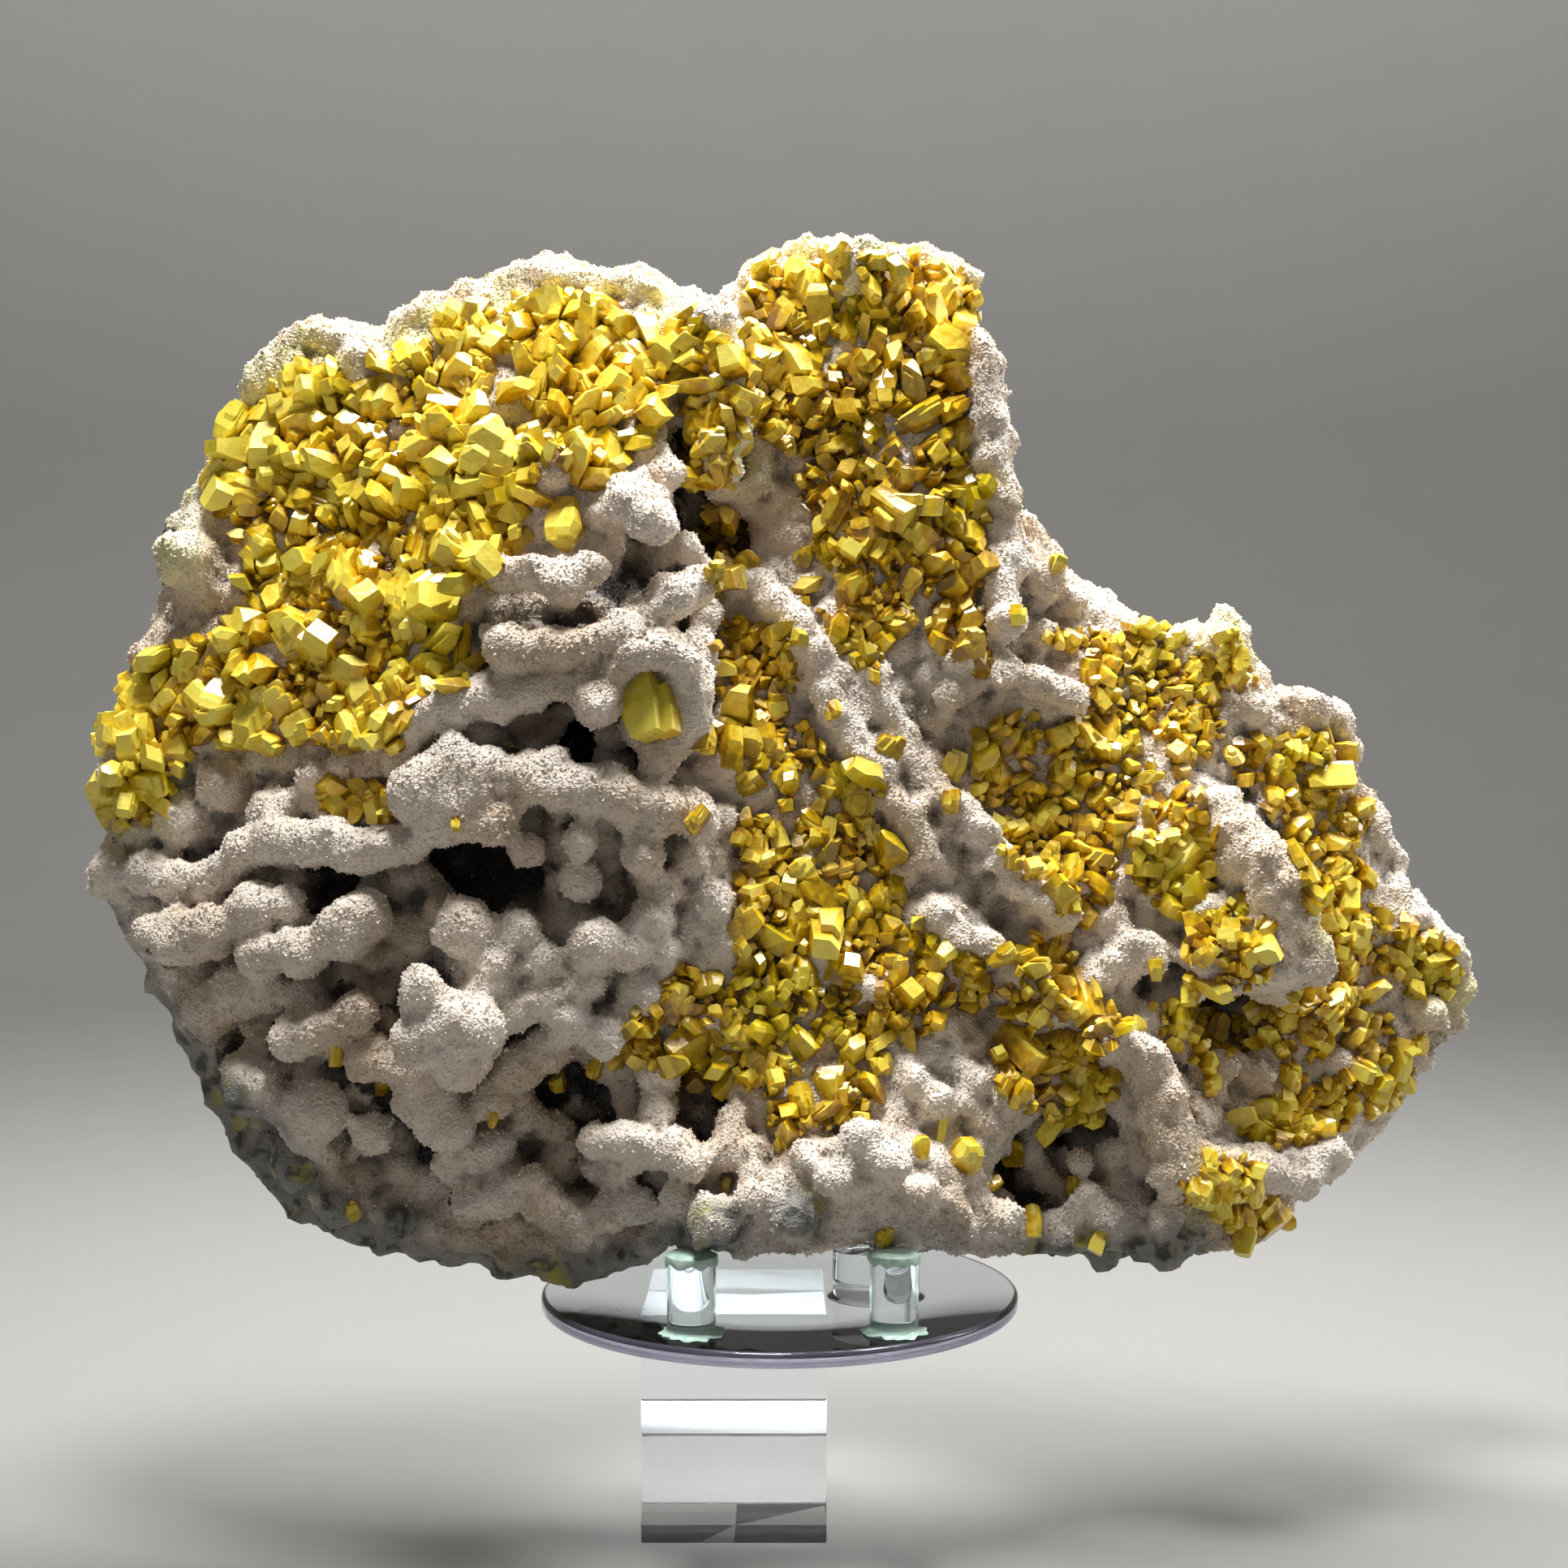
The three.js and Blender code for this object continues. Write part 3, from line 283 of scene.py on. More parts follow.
# The best seen crystals: x, z, width, length, lean to the right in degrees and paleness from 0 to 1
SHOWN_CRYSTALS = {
    "upper_left": (
        (-52, 226, 15, 14, 30, 0.62), (-26.9, 227, 9, 11, 5, 0.7), (-40, 230, 6, 12, 80, 0.75),
        (-43, 241, 5, 12, 20, 0.85), (-32, 241, 6, 8, -20, 0.7), (-64, 199, 8, 15, 68, 0.9),
        (-71, 196, 9, 10, 10, 0.7), (-67.5, 208, 5.4, 11.5, 12, 0.75), (-81.6, 219, 6, 9, 60, 0.35),
        (-68.4, 237, 5, 9, 70, 0.85), (-69, 223, 4, 9, -40, 0.7), (-63, 218, 8, 9, 0, 0.5),
        (-94.8, 189.5, 9.5, 13, -50, 0.7), (-95, 199, 5.5, 11, 35, 0.4), (-104, 170.5, 11, 12, 15, 0.7),
        (-98, 173, 8, 9, -30, 0.6), (-91, 174, 6, 7, 30, 0.5), (-80, 172, 9, 11, 0, 0.6),
        (-74, 169, 8, 9, 35, 0.75), (-77, 184, 7, 8, 20, 0.4), (-69, 180, 6, 10, 60, 0.6),
        (-72, 189, 8, 8, 0, 0.45), (-58.6, 186, 4, 10, 10, 0.2), (-102.7, 207.5, 8, 8, 30, 0.5),
        (-86.8, 208, 5, 9, 65, 0.4), (-78, 208.7, 5, 9, 40, 0.75), (-99, 221.6, 8, 8, 0, 0.6),
        (-75.7, 237.6, 9, 9, 10, 0.55), (-55, 240, 7, 8, 25, 0.7), (-116.8, 181.5, 8, 8, 20, 0.6),
        (-126.7, 167, 8, 8, 0, 0.65), (-128.5, 175, 8, 8, 35, 0.5), (-120.5, 175, 8, 8, 50, 0.6),
        (-120, 163, 7, 8, 0, 0.6), (-125.7, 155.7, 7.5, 8, 80, 0.75), (-129, 150.5, 7, 8, 20, 0.7),
        (-108, 233, 8, 9, 30, 0.8), (-95, 241, 8, 8, -10, 0.85), (-62, 256, 8, 8, 20, 0.85),
        (-40, 259, 9, 8, 70, 0.85), (-27, 250, 8, 9, 10, 0.8), (-88, 229, 8, 7, 40, 0.4),
        (-54, 212, 8, 10, -30, 0.5), (-88, 198, 7, 8, 0, 0.35), (-60, 209, 7, 8, 15, 0.6),
        (-111, 222, 7, 8, 45, 0.6), (-84, 181, 7, 8, 0, 0.5), (-36, 251, 7, 8, -35, 0.8),
        (-22, 238, 7, 8, 40, 0.75), (-80, 153, 6, 8, 60, 0.7), (-50, 252, 8, 9, 45, 0.8),
    ),
    "tower": (
        (15, 262, 7, 8, 0, 0.7), (9.7, 256, 7, 8, 40, 0.6), (44, 260, 8, 9, 30, 0.7),
        (24, 254.5, 5, 7, 0, 0.75), (12, 243, 4.4, 12, 35, 0.85), (39.4, 234.7, 8, 12, 60, 0.4),
        (31, 241, 8, 9, 0, 0.35), (19.5, 236, 7, 8, 20, 0.5), (29, 232, 6, 7, 0, 0.4),
        (22, 229, 6, 8, 80, 0.7), (10, 232, 6, 7, 45, 0.6), (48.7, 220.3, 6, 9, 65, 0.8),
        (38.6, 210, 7, 9, -60, 0.55), (30.8, 205.5, 6.5, 7, 20, 0.6), (25, 198, 8, 9, 0, 0.45),
        (37, 200, 7, 7, 35, 0.5), (50.3, 201, 6, 8, 40, 0.7), (46, 213, 8, 9, -20, 0.5),
        (22, 215, 7, 8, 20, 0.4), (-5, 201, 5, 6, 20, 0.35), (-4, 229.6, 8, 6, 0, 0.5),
        (-4.5, 236, 6, 8, 30, 0.75), (-7, 243, 7, 8, 0, 0.6), (-4, 249, 6, 7, 40, 0.7),
        (-3, 223, 6, 8, 0, 0.35), (42, 246, 8, 8, 0, 0.65), (36, 262, 7, 8, 15, 0.75),
        (27, 246, 7, 7, 60, 0.5), (34, 221, 7, 8, 0, 0.4), (20, 206, 7, 8, -30, 0.4),
        (44, 191, 7, 8, 10, 0.45), (34, 190, 7, 8, 50, 0.4), (26, 187, 6, 7, 0, 0.35),
        (-3, 208, 5, 7, 0, 0.25),
    ),
    "valley": (
        (1, 188, 7, 7, 0, 0.4), (8, 188, 7, 7, 30, 0.4), (11, 181, 7, 8, 0, 0.6), (3, 178, 8, 8, 40, 0.35),
        (9, 172, 7, 8, 0, 0.5), (6, 165, 10, 10, 10, 0.3), (10, 158, 7, 8, 20, 0.55),
        (3, 156, 7, 7, 60, 0.4), (-7, 166, 7, 7, 0, 0.4), (-8, 148, 6, 7, 45, 0.4),
        (3, 143, 8, 8, 15, 0.45), (9, 143, 6, 9, -20, 0.7), (17, 147, 5, 9, -55, 0.75),
        (22, 157, 6, 7, -25, 0.7), (26, 151, 9, 9, 0, 0.3), (29, 146, 5, 6, 0, 0.9),
        (15.5, 165, 4.5, 7, 0, 0.75), (25, 131, 7, 9, 0, 0.8), (32, 130, 7, 9, -15, 0.7),
        (3, 131, 9, 8, 0, 0.4), (10, 131, 7, 8, 10, 0.4), (13, 126, 7, 8, 0, 0.35),
        (14, 116, 8, 8, 0, 0.75), (9, 109, 6, 7, 20, 0.5), (-1, 104, 7, 8, 0, 0.5),
        (-13, 109, 9, 11, 20, 0.7), (-20, 99, 7, 7, 0, 0.3), (6, 95, 9, 9, 30, 0.4), (14, 88, 8, 9, 0, 0.4),
        (21, 92, 11, 9, 60, 0.3), (33, 116, 7, 8, 0, 0.4), (22, 138, 7, 8, 70, 0.5),
        (20, 103, 7, 8, 30, 0.45), (30, 105, 7, 7, 0, 0.5), (43, 119, 7, 8, 10, 0.6),
        (50, 113, 7, 7, 40, 0.8), (14, 100, 7, 8, -40, 0.4), (2, 118, 6, 7, 0, 0.5),
        (46, 152, 5, 6, 0, 0.9), (33, 163, 7, 7, 30, 0.5), (68.7, 120.8, 7, 8, 10, 0.6),
        (57, 119, 6, 7, 50, 0.8), (66, 107, 7, 8, 40, 0.6), (72, 101, 5, 10, 45, 0.6),
        (67, 95, 6, 10, 80, 0.6), (75, 89, 7, 8, 20, 0.5), (59, 92, 6, 7, 0, 0.4), (21, 172, 4, 5, 0, 0.8),
    ),
    "right": (
        (95, 139, 10, 13, 50, 0.8), (70, 158.6, 8, 8, 20, 0.35), (57, 157.7, 8, 8, 0, 0.3),
        (94.8, 175, 6, 8, 85, 0.6), (88.5, 183, 7, 7, 30, 0.5), (93.5, 187, 7, 8, 0, 0.6),
        (101, 180, 7, 8, 20, 0.45), (105, 184, 5, 6, 40, 0.75), (81, 185, 6, 7, 0, 0.55),
        (72, 187, 7, 7, 45, 0.7), (87.6, 157, 5, 8, 70, 0.7), (85, 165, 7, 7, 0, 0.5),
        (101, 167, 5, 7, 0, 0.7), (76, 180, 7, 7, 10, 0.5), (62, 165, 6, 7, 0, 0.3),
        (66, 149, 8, 8, 30, 0.4), (75, 146, 7, 8, 0, 0.5), (60, 146, 7, 7, 60, 0.4),
        (72, 137, 7, 8, 20, 0.5), (78, 153, 7, 7, 45, 0.6), (80, 168, 7, 7, 0, 0.45),
        (92, 168, 6, 7, 30, 0.6), (95, 149, 7, 7, 10, 0.8), (120, 163, 6, 6, 0, 0.7),
        (115.5, 158.6, 7, 7, 20, 0.5), (126, 152.3, 5, 8, 65, 0.75), (131, 146, 6, 7, 0, 0.5),
        (128, 137, 7, 8, 30, 0.6), (124, 131, 7, 7, 0, 0.5), (121, 149, 6, 7, 50, 0.45),
        (112, 163, 6, 7, 20, 0.4), (106, 124, 8, 8, 0, 0.75), (101, 119, 7, 7, 40, 0.5),
        (108, 117, 6, 6, 0, 0.5), (68, 141, 6, 7, 10, 0.6), (86, 176, 6, 7, 10, 0.4),
        (108, 182, 6, 7, 0, 0.7),
    ),
    "lower_right": (
        (133.5, 124, 8, 8, 0, 0.75), (131, 116, 7, 7, 30, 0.5), (150, 117, 7, 7, 60, 0.9),
        (143, 121, 7, 8, 10, 0.7), (118, 106, 7, 7, 0, 0.4), (128, 106, 7, 7, 30, 0.45),
        (136, 98, 8, 9, 0, 0.4), (137, 90, 9, 9, 20, 0.35), (126, 89, 7, 8, 60, 0.5),
        (125.4, 82, 9, 9, 0, 0.45), (117, 83, 7, 8, 20, 0.4), (119, 92, 7, 8, 0, 0.5),
        (95, 105, 7, 7, 0, 0.4), (103, 104, 7, 7, 30, 0.35), (102, 92, 7, 7, 0, 0.5),
        (111, 104, 6, 7, 50, 0.4), (101.6, 75, 5, 6, 0, 0.8), (100, 70, 8, 9, 25, 0.75),
        (106, 69, 7, 7, 0, 0.6), (114, 65, 6, 7, 40, 0.5), (107, 63, 5, 6, 0, 0.5),
        (113, 80, 7, 7, 30, 0.5), (146, 100, 5, 6, 0, 0.7), (131, 110, 6, 7, 0, 0.5),
    ),
    "scattered": (
        (-36.7, 212, 9.5, 11.5, 8, 0.5), (-20, 173, 11, 15.5, -10, 0.95), (-38, 92, 4, 5, 0, 0.4),
        (-30, 95, 4, 5, 30, 0.4), (64, 62, 5, 7, 0, 0.6), (78, 58, 5, 6, 30, 0.5), (73, 69, 5, 6, 0, 0.4),
        (49.4, 76, 8, 8, 20, 0.45), (60, 77, 8, 7, 0, 0.4), (44, 82, 3, 11, 15, 0.8),
        (32, 96, 4, 5, 0, 0.6), (32, 59, 4, 5, 30, 0.3), (-86, 99, 3, 8, 0, 0.6), (-76, 92, 5, 6, 20, 0.2),
        (-82, 64, 4, 5, 0, 0.2), (55, 70, 4, 5, 60, 0.4), (40, 78, 4, 5, 0, 0.5),
        (-60, 147.5, 3, 3, 0, 0.7), (-52, 84, 3, 4, 0, 0.3), (86, 104, 5, 5, 10, 0.5),
        (-100, 164, 4, 5, 0, 0.7), (47, 160, 6, 7, 20, 0.4), (118, 88, 5, 5, 0, 0.5),
        (-2, 70, 3, 5, 20, 0.3), (90, 116, 4, 5, 0, 0.5), (69, 203, 4, 5, 30, 0.6), (60, 192, 4, 5, 0, 0.4),
    ),
}

# CAD crusts and single crystals that each dressed piece stands for
REPLACED_BY_AREA = {
    "upper_left": ("sulfur_upper_left", "sulfur_crystal_left_rim", "sulfur_crystal_hollow"),
    "tower": ("sulfur_tower", "sulfur_crystal_fin_top", "sulfur_crystal_fin_foot"),
    "valley": ("sulfur_valley", "sulfur_middle_low", "sulfur_crystal_pocket", "sulfur_crystal_cleft"),
    "right": ("sulfur_right", "sulfur_right_rim", "sulfur_crystal_ledge"),
    "lower_right": ("sulfur_lower_right", "sulfur_far_right", "sulfur_crystal_corner"),
    "scattered": ("sulfur_crystal_column", "sulfur_crystal_eye", "sulfur_crystal_foot"),
}

# How large the crystals of an area are, against the typical ones
CRYSTAL_SCALE = {"upper_left": 1.02, "tower": 0.94, "valley": 0.92, "right": 0.88, "lower_right": 0.88}

# How far apart the larger crystals of an area stand, as a share of their half width
LARGE_GAP = {"upper_left": 1.5, "tower": 1.5, "valley": 2.1, "right": 2.1, "lower_right": 2.1}

# How much paler or darker the crystals of an area are; the darker values are painted shade, for areas
# that lie in shade
AREA_SHADE_AND_TONE = {"upper_left": 0.0, "tower": -0.4, "valley": -0.2, "right": -0.08, "lower_right": 0.0,
             "scattered": 0.25}

# How large the best seen crystals of an area are, against the sizes read for them
SHOWN_SCALE = {"upper_left": 0.94, "tower": 0.94, "valley": 0.86, "right": 0.8, "lower_right": 0.82,
               "scattered": 0.94}

# Chance of a crystal on bare ground inside an area, against covered ground
STRAYS = 0.002

# How much of an area the sulfur covers, as the level that a noise of about -1 to 1 stays under
COVER_LEVEL = {"upper_left": 0.3, "tower": 0.26, "valley": 0.16, "right": 0.08, "lower_right": 0.1}

# Planes of a sulfur crystal as Miller indices, with the ratios of its three axes
SULFUR_AXES = np.array((0.813, 1.0, 1.903))
PYRAMID, BLUNT, DOME, BASE = (1, 1, 1), (1, 1, 3), (0, 1, 1), (0, 0, 1)

# How far the kinds of plane lie from the middle, and how much that differs within a kind
FULL_RANGES = ((0.9, 1.0), (1.15, 1.8), (1.2, 1.8), (0.8, 1.5))
PLAIN_RANGES = ((1.0, 1.0), (0.9, 1.8))
UNEVENNESS = 0.28


def linear(hex_colour):
    """Linear red, green and blue of an sRGB hex value."""
    channels = [int(hex_colour[i:i + 2], 16) / 255 for i in (1, 3, 5)]
    return tuple(c / 12.92 if c <= 0.04045 else ((c + 0.055) / 1.055) ** 2.4 for c in channels)


class StoneSettings(PropertyGroup):
    """Sizes and colours of the stone and its druse of fine crystals"""

    base_voxel: FloatProperty(name="Base voxel", description="Grain of the first, rounded form of the stone",
                              default=2.2 * MM, unit="LENGTH")
    voxel: FloatProperty(name="Voxel", description="Grain of the finished form of the stone",
                         default=1.3 * MM, unit="LENGTH")
    sink: FloatProperty(name="Sink", description="How far the ground lies behind the solid's front",
                        default=2.0 * MM, unit="LENGTH")
    grain_width: FloatProperty(name="Grain width", description="Width of a crystal of the druse",
                               default=0.8 * MM, unit="LENGTH")
    grain_height: FloatProperty(name="Grain height", description="Length of a crystal of the druse",
                                default=0.5 * MM, unit="LENGTH")
    white: FloatVectorProperty(name="White", description="Aragonite where it is purest", subtype="COLOR",
                               default=linear("#e2d6c8"))
    beige: FloatVectorProperty(name="Beige", description="Aragonite where iron tints it", subtype="COLOR",
                               default=linear("#c8b297"))
    dusted: FloatVectorProperty(name="Dusted", description="Aragonite under a dust of sulfur",
                                subtype="COLOR", default=linear("#eae2a4"))
    # Painted shade: colour laid in the hollows, on the ground deep behind the fingers and towards the bottom
    hollow_shade: FloatVectorProperty(name="Hollow", description="Dirt and stain in the hollows", subtype="COLOR",
                                default=linear("#1f1710"))
    rock: FloatVectorProperty(name="Rock", description="Host rock", subtype="COLOR",
                              default=linear("#7f7d76"))
    rock_dark: FloatVectorProperty(name="Dark rock", description="Specks and cracks of the host rock",
                                   subtype="COLOR", default=linear("#3a3834"))
    rock_green: FloatVectorProperty(name="Green rock", description="Weathered bands of the host rock",
                                    subtype="COLOR", default=linear("#a39c48"))


class SulfurSettings(PropertyGroup):
    """Sizes and colours of the sulfur"""

    large: FloatProperty(name="Large crystal", description="Typical half width of a larger crystal",
                         default=3.3 * MM, unit="LENGTH")
    medium: FloatProperty(name="Medium crystal", description="Typical half width of a medium crystal",
                          default=2.1 * MM, unit="LENGTH")
    small: FloatProperty(name="Small crystal", description="Typical half width of a small crystal",
                         default=1.25 * MM, unit="LENGTH")
    pale: FloatVectorProperty(name="Pale", description="Thin or frosted crystals", subtype="COLOR",
                              default=linear("#f4e25a"))
    yellow: FloatVectorProperty(name="Yellow", description="Clear crystals of a middling size",
                                subtype="COLOR", default=linear("#dcae08"))
    green: FloatVectorProperty(name="Green", description="Greenish crystals", subtype="COLOR",
                               default=linear("#c2b414"))
    # Amber also carries painted shade, where crystals lie near the stone, at their feet or in shaded areas
    amber: FloatVectorProperty(name="Amber", description="Thick crystals", subtype="COLOR",
                               default=linear("#936c0b"))
    # Partly painted shade: the crust's own colour made darker for the shade between the crystals
    depth: FloatVectorProperty(name="Depth", description="The ground between the crystals", subtype="COLOR",
                               default=linear("#6a4605"))


class StandSettings(PropertyGroup):
    """Finish of the acrylic stand and its putty"""

    bevel: FloatProperty(name="Bevel", description="Broken edge of the sawn blocks", default=0.5 * MM,
                         unit="LENGTH")
    fillet: FloatProperty(name="Glue fillet", description="Bead of clear glue round the foot of a peg",
                          default=1.2 * MM, unit="LENGTH")
    drip: FloatProperty(name="Drip", description="How far the putty hangs down the peg", default=1.5 * MM,
                        unit="LENGTH")
    putty: FloatVectorProperty(name="Putty", description="Pressed mounting putty", subtype="COLOR",
                               default=linear("#9cc2b0"))


class StageSettings(PropertyGroup):
    """Floor and backdrop"""

    radius: FloatProperty(name="Radius", description="Radius of the flat floor", default=1.1, unit="LENGTH")
    wall: FloatProperty(name="Wall", description="Height of the sweep's wall", default=1.9, unit="LENGTH")
    paper: FloatVectorProperty(name="Paper", description="Pale seamless paper", subtype="COLOR",
                               default=linear("#787774"))


def seen_at(points):
    """The x and z in millimetres at which points in metres are seen on the plane Y = 0."""
    reach = -EYE[1] / (points[:, 1] - EYE[1])
    x = EYE[0] + (points[:, 0] - EYE[0]) * reach
    z = EYE[2] + (points[:, 2] - EYE[2]) * reach
    return x / MM, z / MM


def sight_scale(place):
    """How much larger a thing at a place is than it looks on the plane Y = 0."""
    return 1 + place[1] / -EYE[1]


def smooth_step(low, high, values):
    """Values eased from 0 at the low end to 1 at the high end."""
    share = np.clip((values - low) / (high - low), 0, 1)
    return share * share * (3 - 2 * share)


def unit(rows):
    """Each row made one long."""
    return rows / np.linalg.norm(rows, axis=1, keepdims=True)


def is_inside(outline, x, z):
    """Whether places lie inside an outline."""
    inside = np.zeros(len(x), bool)
    for (x1, z1), (x2, z2) in zip(outline, outline[1:] + outline[:1]):
        crosses = (z1 > z) != (z2 > z)
        at = (x2 - x1) * (z - z1) / (z2 - z1 if z2 != z1 else 1) + x1
        inside ^= crosses & (x < at)
    return inside


def in_patches(patches, x, z, edge):
    """How far places lie in round patches, from 0 outside to 1 inside."""
    most = np.zeros(len(x))
    for patch_x, patch_z, radius in patches:
        distance = np.hypot(x - patch_x, z - patch_z)
        most = np.maximum(most, 1 - smooth_step(radius - edge, radius + edge, distance))
    return most


def noise_at(points, size, octaves=2, offset=0.0):
    """Fractal noise, about -1 to 1, at points in metres, with features of a size in millimetres."""
    shift = Vector((offset, offset * 0.37, offset * 1.7))
    values = [noise.fractal(Vector(p) / (size * MM) + shift, 1.0, 2.0, octaves) for p in points]
    return np.array(values)


def read_values(items, name, width, kind=np.float32):
    """One attribute of a mesh's points, edges or triangles, as rows of numbers."""
    values = np.empty(len(items) * width, kind)
    items.foreach_get(name, values)
    return values.reshape(-1, width)


def points_of(mesh):
    return read_values(mesh.vertices, "co", 3).astype(float)


def normals_of(mesh):
    return read_values(mesh.vertex_normals, "vector", 3).astype(float)


def triangles_of(mesh):
    mesh.calc_loop_triangles()
    return read_values(mesh.loop_triangles, "vertices", 3, np.int32)


def values_of(mesh, name):
    return read_values(mesh.attributes[name].data, "value", 1)[:, 0].astype(float)


def add_values(mesh, name, values, domain="POINT"):
    """A number for each point or face of a mesh, which its material reads by name."""
    attribute = mesh.attributes.new(name, "FLOAT", domain)
    attribute.data.foreach_set("value", np.asarray(values, np.float32))


def move_points(mesh, points):
    mesh.vertices.foreach_set("co", points.astype(np.float32).ravel())
    mesh.update()


def triangle_mesh(name, points, corners):
    """A mesh of flat triangles."""
    mesh = bpy.data.meshes.new(name)
    mesh.vertices.add(len(points))
    mesh.vertices.foreach_set("co", np.asarray(points, np.float32).ravel())
    mesh.loops.add(corners.size)
    mesh.loops.foreach_set("vertex_index", np.asarray(corners, np.int32).ravel())
    mesh.polygons.add(len(corners))
    mesh.polygons.foreach_set("loop_start", np.arange(0, corners.size, 3, dtype=np.int32))
    mesh.update(calc_edges=True)
    mesh.shade_flat()
    return mesh


def smooth_mesh(name, points, faces, sharp_angle=180):
    """A smooth mesh of any faces, with edges that turn by more than an angle in degrees left sharp."""
    mesh = bpy.data.meshes.new(name)
    mesh.from_pydata(points, [], faces)
    mesh.shade_smooth()
    if sharp_angle < 180:
        mesh.set_sharp_from_angle(angle=math.radians(sharp_angle))
    return mesh


def add_object(name, mesh, *materials):
    item = bpy.data.objects.new(name, mesh)
    bpy.context.scene.collection.objects.link(item)
    for material in materials:
        mesh.materials.append(material)
    return item


def add_piece(name, mesh, materials, replaced=()):
    """A piece of the specimen, with the solids that it stands for."""
    piece = add_object(name, mesh, *materials)
    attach(piece, "root")
    if replaced:
        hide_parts(*replaced)
    return piece


def ball(subdivisions):
    """Corners and triangles of a ball of radius 1."""
    bpy.ops.mesh.primitive_ico_sphere_add(subdivisions=subdivisions, radius=1)
    item = bpy.context.object
    points, corners = points_of(item.data), triangles_of(item.data)
    bpy.data.meshes.remove(item.data)
    return points, corners


def repeated(points, corners, turns, centres):
    """Copies of a form, each turned and sized by its 3 by 3 matrix and moved to its centre."""
    copies = np.einsum("nij,pj->npi", turns, points) + centres[:, None, :]
    starts = np.arange(len(centres)) * len(points)
    return copies.reshape(-1, 3), (corners[None] + starts[:, None, None]).reshape(-1, 3)


def frames_along(directions, spins):
    """Turns whose third axis follows each direction, spun about it."""
    helper = np.where(np.abs(directions[:, 2:3]) < 0.9, (0.0, 0.0, 1.0), (1.0, 0.0, 0.0))
    first = unit(np.cross(helper, directions))
    second = np.cross(directions, first)
    cos, sin = np.cos(spins)[:, None], np.sin(spins)[:, None]
    return np.stack((first * cos + second * sin, second * cos - first * sin, directions), axis=2)


def turn_along(axis, rng):
    """One turn whose third axis follows an axis, with a random spin."""
    return frames_along((axis / np.linalg.norm(axis))[None], rng.uniform(0, 2 * math.pi, 1))[0]


def areas_across(points, corners):
    """For each triangle a vector across it, twice its area long, with its first corner and two sides."""
    a, b, c = (points[corners[:, i]] for i in range(3))
    return np.cross(b - a, c - a), a, b - a, c - a


def scatter(points, corners, weights, count, rng):
    """Random places on triangles, by area and weight: the places, their directions and their triangles."""
    across, start, side, other_side = areas_across(points, corners)
    area = np.linalg.norm(across, axis=1)
    chance = area * weights
    chosen = rng.choice(len(corners), count, p=chance / chance.sum())
    u, v = rng.random((2, count))
    over = u + v > 1
    u[over], v[over] = 1 - u[over], 1 - v[over]
    places = start[chosen] + side[chosen] * u[:, None] + other_side[chosen] * v[:, None]
    return places, across[chosen] / np.maximum(area[chosen], 1e-12)[:, None], chosen


def spaced_out(places, distance, taken=()):
    """Numbers of the places that keep a distance to each other and to the ones taken before."""
    cells = {}
    around = [(i, j, k) for i in (-1, 0, 1) for j in (-1, 0, 1) for k in (-1, 0, 1)]
    kept = []

    def cell_of(place):
        return tuple(int(math.floor(v / distance)) for v in place)

    for place in taken:
        cells.setdefault(cell_of(place), []).append(place)
    for number, place in enumerate(places):
        i, j, k = cell_of(place)
        near = (other for di, dj, dk in around for other in cells.get((i + di, j + dj, k + dk), ()))
        if all(math.dist(place, other) >= distance for other in near):
            cells.setdefault((i, j, k), []).append(place)
            kept.append(number)
    return kept


def reshape(item, kind, **settings):
    """Gives the item the mesh that one modifier makes of it, and drops the modifier."""
    modifier = item.modifiers.new(kind.lower(), kind)
    for key, value in settings.items():
        setattr(modifier, key, value)
    bpy.context.view_layer.update()
    shaped = bpy.data.meshes.new_from_object(item.evaluated_get(bpy.context.evaluated_depsgraph_get()))
    item.modifiers.clear()
    old = item.data
    item.data = shaped
    bpy.data.meshes.remove(old)


def tree_of(mesh):
    """The mesh's surface, ready for rays and nearest points."""
    return BVHTree.FromPolygons([Vector(p) for p in points_of(mesh)], triangles_of(mesh).tolist())


def hit_from_eye(tree, x, z):
    """Where the line of sight through x, z meets a surface, and the line's direction."""
    eye, target = Vector(EYE), Vector((x * MM, 0.0, z * MM))
    direction = (target - eye).normalized()
    place = tree.ray_cast(eye, direction)[0]
    if place is None:
        place = tree.find_nearest(target)[0]
    return np.array(place), np.array(direction)


def set_inputs(tree, node, inputs):
    """Gives a node's inputs, named or in their order, a value or a link each; a colour is opaque."""
    for key, value in inputs.items() if isinstance(inputs, dict) else enumerate(inputs):
        socket = node.inputs[key]
        if isinstance(value, bpy.types.NodeSocket):
            tree.links.new(value, socket)
        elif socket.type == "RGBA":
            socket.default_value = (*value, 1.0)
        else:
            socket.default_value = value


def add_node(tree, kind, inputs=(), output=0, **settings):
    """Adds a node with its settings, its inputs and their links, and gives its first or named output."""
    node = tree.nodes.new(kind)
    for key, value in settings.items():
        setattr(node, key, value)
    set_inputs(tree, node, inputs)
    return node.outputs[output]


def new_material(name):
    """A material with its node tree, its shader and the place that patterns are drawn in, in metres."""
    material = bpy.data.materials.new(name)
    material.use_nodes = True
    tree = material.node_tree
    place = add_node(tree, "ShaderNodeTexCoord", output="Object")
    return material, tree, tree.nodes["Principled BSDF"], place


def layered(tree, colour, *layers):
    """A colour with others laid over it in turn, each given as its share and its colour."""
    for share, cover in layers:
        colour = add_node(tree, "ShaderNodeMix", {SHARE: share, FIRST: colour, SECOND: cover}, MIXED,
                          data_type="RGBA")
    return colour


